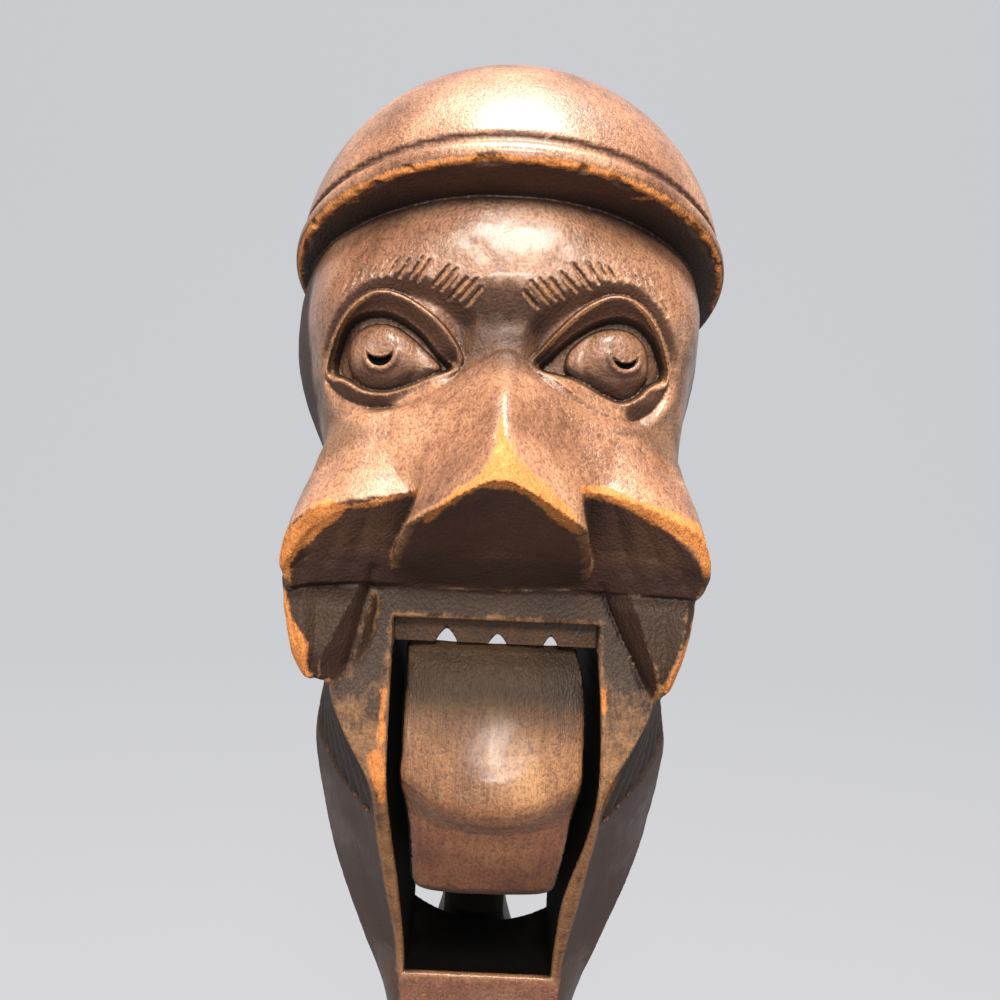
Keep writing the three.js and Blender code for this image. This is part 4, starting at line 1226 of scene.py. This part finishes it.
facing = step_between(-head_normals[:, 1], *FACING)
in_worn = read_map(worn, hx, hz) * facing * step_between(hy, *WORN_AHEAD)
cap_up, cap_out = from_cap(hx, hy, hz)
cap_rim = zone((cap_out, CAP_RIM_OUT), (np.abs(cap_up - CAP_RIM_LEVEL), CAP_RIM_OFF), (hy, CAP_RIM_AHEAD))
in_worn = np.maximum(in_worn, CAP_RIM_RUBBED * cap_rim)
# Painted black shade in the slot, lighter on the recessed tooth bar, and in the eyes' deepest cuts
in_cut = read_map(cut_shade, hx, hz) * step_between(hy, *CUT_SHADE_AHEAD)
in_slot = in_mouth * (1 - (1 - BAR_BLACK_SHADE) * above_bar)
# Painted shade: the lower face under the nose and cheeks, the side facets and the hair under the cap are
# darkened for the shade they lie in; the coarse skin beside the eyes is darker of itself
lower_face = zone((hz, LOWER_FACE_TOP), (hz, LOWER_FACE_FOOT)) * facing
side_facet = zone((np.abs(head_normals[:, 0]), FACET_TURNED), (hz, FACET_LEVELS))
from_hair = np.abs(ball(hx, hy, hz, HAIR_CENTRE, HAIR_RADII))
in_hair = zone((from_hair, HAIR_SKIN), (hy, HAIR_BEHIND))
shade_and_rough_skin = np.maximum(np.maximum(lower_face, FACET_DARK * side_facet), in_hair)
add_attribute(head, "rubbed", np.maximum(in_worn, BAR_RUBBED * on_bar))
add_attribute(head, "painted_black_shade", np.maximum(in_slot, in_cut))
add_attribute(head, "reddened", zone((hz, RED_LEVELS), (hy, RED_AHEAD)))
add_attribute(head, "shade_and_rough_skin", np.maximum(shade_and_rough_skin, ROUGH_DARK * read_map(rough, hx, hz) * facing))
add_attribute(head, "jaw_top_shadow", np.zeros(len(hz)))

jx, jy, jz = (jaw_points[:, axis].astype(np.float32) for axis in range(3))
# The lit chin under the jaw's rim gets less of the painted underside shade
under_rim = zone((jz, UNDER_RIM_TOP), (jz, UNDER_RIM_FOOT))
finish_marks(jaw, jaw_form, jaw_points, jaw_normals, 0.0, 1 - UNDER_RIM_LIT * under_rim)
dipped = jz + JAW_RIM_DIP * (1 - 2 * np.clip(jx / SLOT_HALF, -1, 1) ** 2)
rim = np.exp(-((dipped - JAW_RIM_LEVEL) / JAW_RIM_WIDTH) ** 2)
# Painted black shade on the lever where the slot shades it: its front below the jaw, its part inside the
# head's rear and the jaw's sides
past_head = jy - looked_up(HEAD_PLAN, jz)[4]
in_shade = zone((-jaw_normals[:, 1], SHADE_FACING), (jz, SHADE_LEVELS), (jy, SHADE_BEHIND),
                (past_head, SHADE_PAST_HEAD))
in_slot_rear = zone((past_head, SLOT_REAR_PAST_HEAD), (jz, SLOT_REAR_LEVELS), (jy, SLOT_REAR_BEHIND))
jaw_sides = zone((np.abs(jaw_normals[:, 0]), JAW_SIDE_TURNED), (jz, JAW_SIDE_LEVELS), (jy, JAW_SIDE_BEHIND))
add_attribute(jaw, "rubbed", rim * step_between(jy, *JAW_RIM_AHEAD) * JAW_RIM_RUBBED)
add_attribute(jaw, "painted_black_shade", np.maximum(np.maximum(in_shade, in_slot_rear), jaw_sides))
add_attribute(jaw, "reddened", JAW_REDDENED * step_between(jz, *JAW_RED_LEVELS))
# Painted shadow: the jaw's top, which the nose and moustache shade, is darkened to near black
add_attribute(jaw, "jaw_top_shadow", zone((jz, JAW_TOP_SHADOW_LEVELS), (jy, JAW_TOP_SHADOW_AHEAD)))
# Painted shade on the arm and rear handle, behind the head
add_attribute(jaw, "shade_and_rough_skin", step_between(jy, *ARM_BEHIND))


# Materials

MATH = "ShaderNodeMath"
RANGE = "ShaderNodeMapRange"
MIX = "ShaderNodeMix"
MIX_SHARE, MIX_FIRST, MIX_SECOND, MIX_RESULT = 0, 6, 7, 2


def to_linear(colour):
    """An sRGB hex colour as the linear one that a shader takes."""
    parts = [int(colour[i:i + 2], 16) / 255 for i in (1, 3, 5)]
    return [c / 12.92 if c <= 0.04045 else ((c + 0.055) / 1.055) ** 2.4 for c in parts] + [1.0]


def set_inputs(tree, node, inputs):
    for name, value in inputs.items():
        if isinstance(value, bpy.types.NodeSocket):
            tree.links.new(value, node.inputs[name])
        else:
            node.inputs[name].default_value = to_linear(value) if isinstance(value, str) else value


def add_node(tree, kind, inputs=None, output=0, **settings):
    """Adds a node and returns its output; an input is a value, an sRGB hex colour or another's output."""
    node = tree.nodes.new(kind)
    for name, value in settings.items():
        setattr(node, name, value)
    set_inputs(tree, node, inputs or {})
    return node.outputs[output]


def new_material(name):
    material = bpy.data.materials.new(name)
    material.use_nodes = True
    return material, material.node_tree, material.node_tree.nodes["Principled BSDF"]


PATTERN_SHIFT = 7.3


def add_patterns(tree, table):
    """Noise patterns by name, from rows of grain sizes in millimetres along X, Y and Z, detail, roughness."""
    place = add_node(tree, "ShaderNodeTexCoord", output="Object")
    patterns = {}
    for index, (name, (sizes, detail, roughness)) in enumerate(table.items()):
        scaled = add_node(tree, "ShaderNodeMapping", {
            "Vector": place, "Scale": [1 / (size * MM) for size in sizes],
            "Location": [PATTERN_SHIFT * index] * 3})
        patterns[name] = add_node(tree, "ShaderNodeTexNoise", {
            "Vector": scaled, "Scale": 1.0, "Detail": detail, "Roughness": roughness}, output="Fac")
    return patterns


def layered(tree, colour, layers, follow, tones):
    """The colour under a finish's layers, and how much of each there is, by what the layer follows.

    A layer is what it follows, the values of that where it begins and is full, its most, and its tone.
    """
    shares = {}
    for source, begins, full, most, tone in layers:
        share = add_node(tree, RANGE, {
            "Value": follow[source], "From Min": begins, "From Max": full, "To Max": most})
        colour = add_node(tree, MIX, {MIX_SHARE: share, MIX_FIRST: colour, MIX_SECOND: tones[tone]},
                          MIX_RESULT, data_type="RGBA")
        shares[source] = share
    return colour, shares


# Walnut, stained dark and varnished long ago: brown with darker fibres along the grain, with painted
# shade where it is sheltered, creased, facing down or under the nose and cheeks, partly real grime in the
# hollows, and pale orange wood with torn fibres where edges have lost the stain. Real pores and
# scratches are about a tenth and a twentieth of a millimetre wide: stipple, torn and scratch are drawn
# about three times as coarse, so that they show.
WALNUT_PATTERNS = {
    "fibre": ((0.8, 0.8, 6.0), 4.0, 0.6), "cloud": ((8.0, 8.0, 13.0), 3.0, 0.5),
    "stipple": ((0.34, 0.34, 0.4), 2.0, 0.5), "torn": ((0.34, 0.34, 0.9), 4.0, 0.7),
    "patch": ((1.6, 1.6, 2.0), 3.0, 0.6), "scratch": ((0.13, 0.5, 8.0), 2.0, 0.6),
}
WALNUT_MARKS = ("reddened", "underside", "shade_and_rough_skin", "jaw_top_shadow", "edge", "rubbed", "crease", "shelter",
                "painted_black_shade")
# A sum's name, what is multiplied in it, by how much, and the number or pattern that is added
WALNUT_SUMS = [("fibres", "fibre", 0.35, 0.02), ("tone", "cloud", 0.65, "fibres"),
               ("ragged", "torn", 1.0, "patch"), ("sharp", "edge", 1.9, "ragged"),
               ("worn", "rubbed", 1.1, "ragged"), ("pores", "fibre", 0.2, "stipple")]
# The darkest tones are mostly painted shade: for undersides, which is also the dark of open pores, for the
# lower face and the jaw's top, for creases and hollows with some real grime, and the black of the slot
WALNUT = {
    "dark": "#4b3124", "body": "#815b45", "light": "#a67e61", "red": "#4e2216", "under": "#2b160d",
    "shade_and_rough_skin": "#1d1207", "jaw_top_shadow": "#14120c", "shade_and_grime": "#170c07", "black_shade": "#050403",
    "rubbed_edge": "#ab7c55", "bare_dark": "#8a5228", "bare": "#b36f38", "bare_light": "#ca8d52",
}
LIGHT_FIBRES = [("tone", 0.5, 0.72, 1.0, "light")]
DARK_FIBRES = [("tone", 0.5, 0.3, 1.0, "dark")]
# Stains and painted shade: the red is the wood's own stain; the others darken the lower face, side facets,
# hair, arm, jaw's top and undersides as painted shade, and open pores
STAINS_AND_SHADE = [("reddened", 0.0, 1.0, 0.85, "red"), ("shade_and_rough_skin", 0.0, 1.0, 0.93, "shade_and_rough_skin"),
          ("jaw_top_shadow", 0.0, 1.0, 0.9, "jaw_top_shadow"), ("underside", 0.0, 1.0, 0.88, "under"),
          ("stipple", 0.5, 0.36, 0.45, "under")]
BARE_WOOD = [("torn", 0.5, 0.34, 0.6, "bare_dark"), ("ragged", 0.95, 1.4, 0.8, "bare_light")]
WEAR = [("sharp", 1.4, 2.0, 0.45, "rubbed_edge"), ("worn", 1.35, 1.75, 1.0, "bare")]
# Painted shade, with some real grime, in creases and sheltered places, and painted black shade in the slot
# and the deepest cuts
SHADE_AND_GRIME = [("crease", 0.35, 1.0, 0.5, "shade_and_grime"), ("shelter", 0.4, 1.0, 0.82, "shade_and_grime"),
        ("painted_black_shade", 0.0, 1.0, 0.97, "black_shade")]
SCRATCH_FROM = 0.6
SCRATCH_FULL = 0.68
DULL_MARKS = (("underside", 1.0), ("shade_and_rough_skin", 0.8), ("jaw_top_shadow", 0.9))
DULL_ROUGHENS = 0.3
ROUGH_SPREAD = 0.05
COAT = 0.4
COAT_FULL_TO = 0.1
COAT_GONE_FROM = 0.8
COAT_ROUGHNESS = 0.25
SHINE = 0.3
BUMP_HEIGHT = 0.16
SCRATCH_HEIGHT = 2.0
SPLINTER_HEIGHT = 2.0


def walnut_material(name, tones, scratched, rough):
    material, tree, shader = new_material(name)
    follow = add_patterns(tree, WALNUT_PATTERNS)
    for mark in WALNUT_MARKS:
        follow[mark] = add_node(tree, "ShaderNodeAttribute", output="Fac", attribute_name=mark)
    for total, source, factor, added in WALNUT_SUMS:
        follow[total] = add_node(tree, MATH, {0: follow[source], 1: factor, 2: follow.get(added, added)},
                                 operation="MULTIPLY_ADD")

    # The stain, with fibres, thin light scratches, open pores and painted shade on undersides, the lower face
    # and the jaw's top, then bare wood in torn patches: narrow along sharp edges, wide where hands and nuts
    # have rubbed, and over both painted shade with some real grime in creases and hollows, and painted black
    # shade in the slot and the deepest cuts
    bare = layered(tree, tones["bare"], BARE_WOOD, follow, tones)[0]
    scratches = [("scratch", SCRATCH_FROM, SCRATCH_FULL, scratched, "light")]
    colour = layered(tree, tones["body"], DARK_FIBRES, follow, tones)[0]
    colour, shares = layered(tree, colour, LIGHT_FIBRES + scratches + STAINS_AND_SHADE + WEAR + SHADE_AND_GRIME, follow,
                             dict(tones, bare=bare))

    # The varnish: glossier on rubbed high places, dull on bare wood and where shade and grime are painted
    dull = shares["worn"]
    for mark, *_ in SHADE_AND_GRIME:
        dull = add_node(tree, MATH, {0: shares[mark], 1: dull}, operation="MAXIMUM")
    for mark, most in DULL_MARKS:
        share = add_node(tree, MATH, {0: follow[mark], 1: most}, operation="MULTIPLY")
        dull = add_node(tree, MATH, {0: share, 1: dull}, operation="MAXIMUM")
    gloss = add_node(tree, RANGE, {"Value": follow["cloud"], "From Min": 0.3, "From Max": 0.7,
                                   "To Min": rough - ROUGH_SPREAD, "To Max": rough + ROUGH_SPREAD})
    gloss = add_node(tree, MATH, {0: dull, 1: DULL_ROUGHENS, 2: gloss},
                     operation="MULTIPLY_ADD", use_clamp=True)
    coat = add_node(tree, RANGE, {"Value": dull, "From Min": COAT_FULL_TO, "From Max": COAT_GONE_FROM,
                                  "To Min": COAT, "To Max": 0.0})

    # The relief: pores, scratches, and splinters where the wood is bare
    splinter = add_node(tree, MATH, {0: follow["torn"], 1: 0.5}, operation="SUBTRACT")
    splinter = add_node(tree, MATH, {0: splinter, 1: shares["worn"]}, operation="MULTIPLY")
    height = follow["pores"]
    for source, factor in ((follow["scratch"], scratched * SCRATCH_HEIGHT), (splinter, SPLINTER_HEIGHT)):
        height = add_node(tree, MATH, {0: source, 1: factor, 2: height}, operation="MULTIPLY_ADD")
    bump = add_node(tree, "ShaderNodeBump", {"Height": height, "Strength": 1.0, "Distance": BUMP_HEIGHT * MM})
    set_inputs(tree, shader, {
        "Base Color": colour, "Roughness": gloss, "Coat Weight": coat, "Normal": bump, "IOR": 1.5,
        "Specular IOR Level": SHINE, "Coat Roughness": COAT_ROUGHNESS})
    return material


# Drawn steel wire, dulled by handling: grey, with draw lines along it and a fine grain on its cut ends,
# both drawn coarser than the hundredths of a millimetre that they measure, so that they show.
STEEL_PATTERNS = {"cloud": ((1.2, 1.2, 1.2), 4.0, 0.5), "lines": ((3.0, 0.12, 0.12), 2.0, 0.5)}
STEEL = {"body": "#5c574f", "bright": "#a09c94"}
STEEL_LAYERS = [("cloud", 0.3, 0.7, 1.0, "bright")]


def steel_material():
    material, tree, shader = new_material("dull_drawn_steel")
    follow = add_patterns(tree, STEEL_PATTERNS)
    colour = layered(tree, STEEL["body"], STEEL_LAYERS, follow, STEEL)[0]
    rough = add_node(tree, RANGE, {"Value": follow["cloud"], "To Min": 0.28, "To Max": 0.58})
    bump = add_node(tree, "ShaderNodeBump", {
        "Height": follow["lines"], "Strength": 0.6, "Distance": 0.02 * MM})
    set_inputs(tree, shader, {"Base Color": colour, "Roughness": rough, "Normal": bump, "Metallic": 1.0})
    return material


# Painted black shade inside the slot, on the lever there and in the eyes' deepest cuts: near-black walnut,
# dull, without a reflection.
BLACK_SHADE_PATTERNS = {"fibre": ((0.6, 0.6, 8.0), 4.0, 0.6)}
BLACK_SHADE = {"body": "#030202", "brown": "#0d0906"}
BLACK_SHADE_LAYERS = [("fibre", 0.35, 0.7, 1.0, "brown")]
BLACK_SHADE_FROM = 0.5


def make_black_shade_material():
    material, tree, shader = new_material("walnut_black_shade")
    follow = add_patterns(tree, BLACK_SHADE_PATTERNS)
    colour = layered(tree, BLACK_SHADE["body"], BLACK_SHADE_LAYERS, follow, BLACK_SHADE)[0]
    rough = add_node(tree, RANGE, {"Value": follow["fibre"], "To Min": 0.85, "To Max": 0.95})
    set_inputs(tree, shader, {"Base Color": colour, "Roughness": rough, "Specular IOR Level": 0.08})
    return material


def give_black_shade_faces(piece, black_shade_material):
    """Gives the black painted-shade material to the faces that are at least half in painted black shade."""
    mesh = piece.data
    mesh.materials.append(black_shade_material)
    black = np.zeros(len(mesh.vertices), np.float32)
    mesh.attributes["painted_black_shade"].data.foreach_get("value", black)
    corners = np.zeros(len(mesh.loops), np.int32)
    mesh.loops.foreach_get("vertex_index", corners)
    starts = np.zeros(len(mesh.polygons), np.int32)
    mesh.polygons.foreach_get("loop_start", starts)
    face_black = np.add.reduceat(black[corners], starts) / np.diff(np.append(starts, len(corners)))
    mesh.polygons.foreach_set("material_index", (face_black > BLACK_SHADE_FROM).astype(np.int32))


LEVER_TONES = dict(WALNUT, body="#835a3c", light="#ad8158")
black_shade_material = make_black_shade_material()
head.data.materials.append(walnut_material("stained_varnished_walnut", WALNUT, scratched=0.06, rough=0.34))
jaw.data.materials.append(walnut_material("stained_varnished_walnut_lever", LEVER_TONES,
                                          scratched=0.4, rough=0.3))
for piece in (head, jaw):
    give_black_shade_faces(piece, black_shade_material)
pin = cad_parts["hinge_pin"]
pin.data.materials.clear()
pin.data.materials.append(steel_material())

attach(head, "head")
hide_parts("head_handle")
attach(jaw, "lever")
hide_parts("jaw_lever")


# Stage, light and camera

PAPER_PATTERNS = {"grain": ((0.6, 0.6, 0.6), 2.0, 0.5)}
PAPER = {"lighting": "#4a4a4a", "body": "#8a8a8d", "pale": "#9a9a9d", "glow": "#d6d7db"}
PAPER_LAYERS = [("grain", 0.0, 1.0, 1.0, "pale")]
PAPER_SEEN = [("seen", 0.0, 1.0, 1.0, "paper")]
PAPER_SEEN_LIGHT = 0.85


def paper_material():
    """Pale and even to the eye and in reflections, and darker where it lights the object."""
    material, tree, shader = new_material("pale_paper")
    path = tree.nodes.new("ShaderNodeLightPath")
    seen_ray = path.outputs["Is Camera Ray"]
    for ray in ("Is Glossy Ray", "Is Transmission Ray"):
        seen_ray = add_node(tree, MATH, {0: seen_ray, 1: path.outputs[ray]}, operation="MAXIMUM")
    follow = dict(add_patterns(tree, PAPER_PATTERNS), seen=seen_ray)
    paper = layered(tree, PAPER["body"], PAPER_LAYERS, follow, PAPER)[0]
    paper = layered(tree, PAPER["lighting"], PAPER_SEEN, follow, {"paper": paper})[0]
    set_inputs(tree, shader, {"Base Color": paper, "Roughness": 0.9, "Specular IOR Level": 0.1})
    glow = add_node(tree, "ShaderNodeEmission", {"Color": PAPER["glow"], "Strength": 1.0})
    share = add_node(tree, MATH, {0: seen_ray, 1: PAPER_SEEN_LIGHT}, operation="MULTIPLY")
    both = add_node(tree, "ShaderNodeMixShader", {0: share, 1: shader.outputs[0], 2: glow})
    tree.links.new(both, tree.nodes["Material Output"].inputs["Surface"])
    return material


# The floor, in metres: half its width, its front, where it stands up behind, its height and its bend
FLOOR_HALF = 3.0
FLOOR_FRONT = -2.2
FLOOR_REAR = 1.6
FLOOR_HEIGHT = 2.6
FLOOR_BEND = 0.7
FLOOR_BEND_STEPS = 12


def stage_floor():
    """A floor that turns up behind the object into a backdrop, without a line between them."""
    profile = [(FLOOR_FRONT, 0.0)]
    for step in range(FLOOR_BEND_STEPS + 1):
        angle = math.radians(90 * step / FLOOR_BEND_STEPS)
        profile.append((FLOOR_REAR - FLOOR_BEND + FLOOR_BEND * math.sin(angle),
                        FLOOR_BEND - FLOOR_BEND * math.cos(angle)))
    profile.append((FLOOR_REAR, FLOOR_HEIGHT))
    points = [(x, y, z) for y, z in profile for x in (-FLOOR_HALF, FLOOR_HALF)]
    faces = [(2 * i, 2 * i + 1, 2 * i + 3, 2 * i + 2) for i in range(len(profile) - 1)]
    mesh = bpy.data.meshes.new("floor")
    mesh.from_pydata(points, [], faces)
    mesh.shade_smooth()
    mesh.materials.append(paper_material())
    floor = bpy.data.objects.new("floor", mesh)
    bpy.context.scene.collection.objects.link(floor)


def area_lamp(name, place, target, size, power, colour):
    lamp = bpy.data.lights.new(name, "AREA")
    lamp.shape = "ELLIPSE"
    lamp.size, lamp.size_y = size
    lamp.energy = power
    lamp.color = to_linear(colour)[:3]
    holder = bpy.data.objects.new(name, lamp)
    holder.location = place
    holder.rotation_euler = (Vector(target) - Vector(place)).to_track_quat("-Z", "Y").to_euler()
    bpy.context.scene.collection.objects.link(holder)


def photograph_camera():
    camera = bpy.data.cameras.new("camera")
    camera.lens = CAMERA_LENS
    camera.sensor_width = CAMERA_SENSOR
    camera.clip_start = 0.01
    camera.clip_end = 20.0
    holder = bpy.data.objects.new("camera", camera)
    holder.matrix_world = (Matrix.Translation(Vector(CAMERA_PLACE * MM))
                           @ Matrix.Rotation(math.radians(90), 4, "X") @ Matrix.Rotation(CAMERA_ROLL, 4, "Z"))
    bpy.context.scene.collection.objects.link(holder)
    bpy.context.scene.camera = holder


for leftover in ("Cube", "Light", "Camera"):
    if leftover in bpy.data.objects:
        bpy.data.objects.remove(bpy.data.objects[leftover])
stage_floor()
# Lamps, in metres: name, place, what it points at, width and height, watts and colour
FACE_MIDDLE = (0.0, -0.01, 0.155)
LAMPS = [
    ("key_above", (0.02, -0.16, 0.75), FACE_MIDDLE, (0.36, 0.32), 11.5, "#fff4e6"),
    ("key_front", (0.02, -0.55, 0.50), FACE_MIDDLE, (0.22, 0.16), 6.5, "#fff6ea"),
    ("low_front", (0.03, -0.70, 0.19), FACE_MIDDLE, (0.09, 0.09), 2.6, "#fffaf4"),
    ("low_left", (-0.50, -0.50, 0.22), FACE_MIDDLE, (0.14, 0.14), 1.2, "#fffaf4"),
    ("fill_left", (-0.60, -0.02, 0.18), FACE_MIDDLE, (0.4, 0.4), 0.4, "#ffffff"),
    ("fill_right", (0.60, -0.02, 0.18), FACE_MIDDLE, (0.4, 0.4), 0.4, "#ffffff"),
    ("backdrop_light", (0.0, 0.3, 1.8), (0.0, 1.5, 0.3), (2.0, 0.8), 14.0, "#ffffff"),
]
for lamp in LAMPS:
    area_lamp(*lamp)
world = bpy.data.worlds.new("studio")
world.use_nodes = True
set_inputs(world.node_tree, world.node_tree.nodes["Background"], {"Color": "#cdd3dc", "Strength": 0.2})
bpy.context.scene.world = world
bpy.context.scene.view_settings.view_transform = "Standard"
photograph_camera()
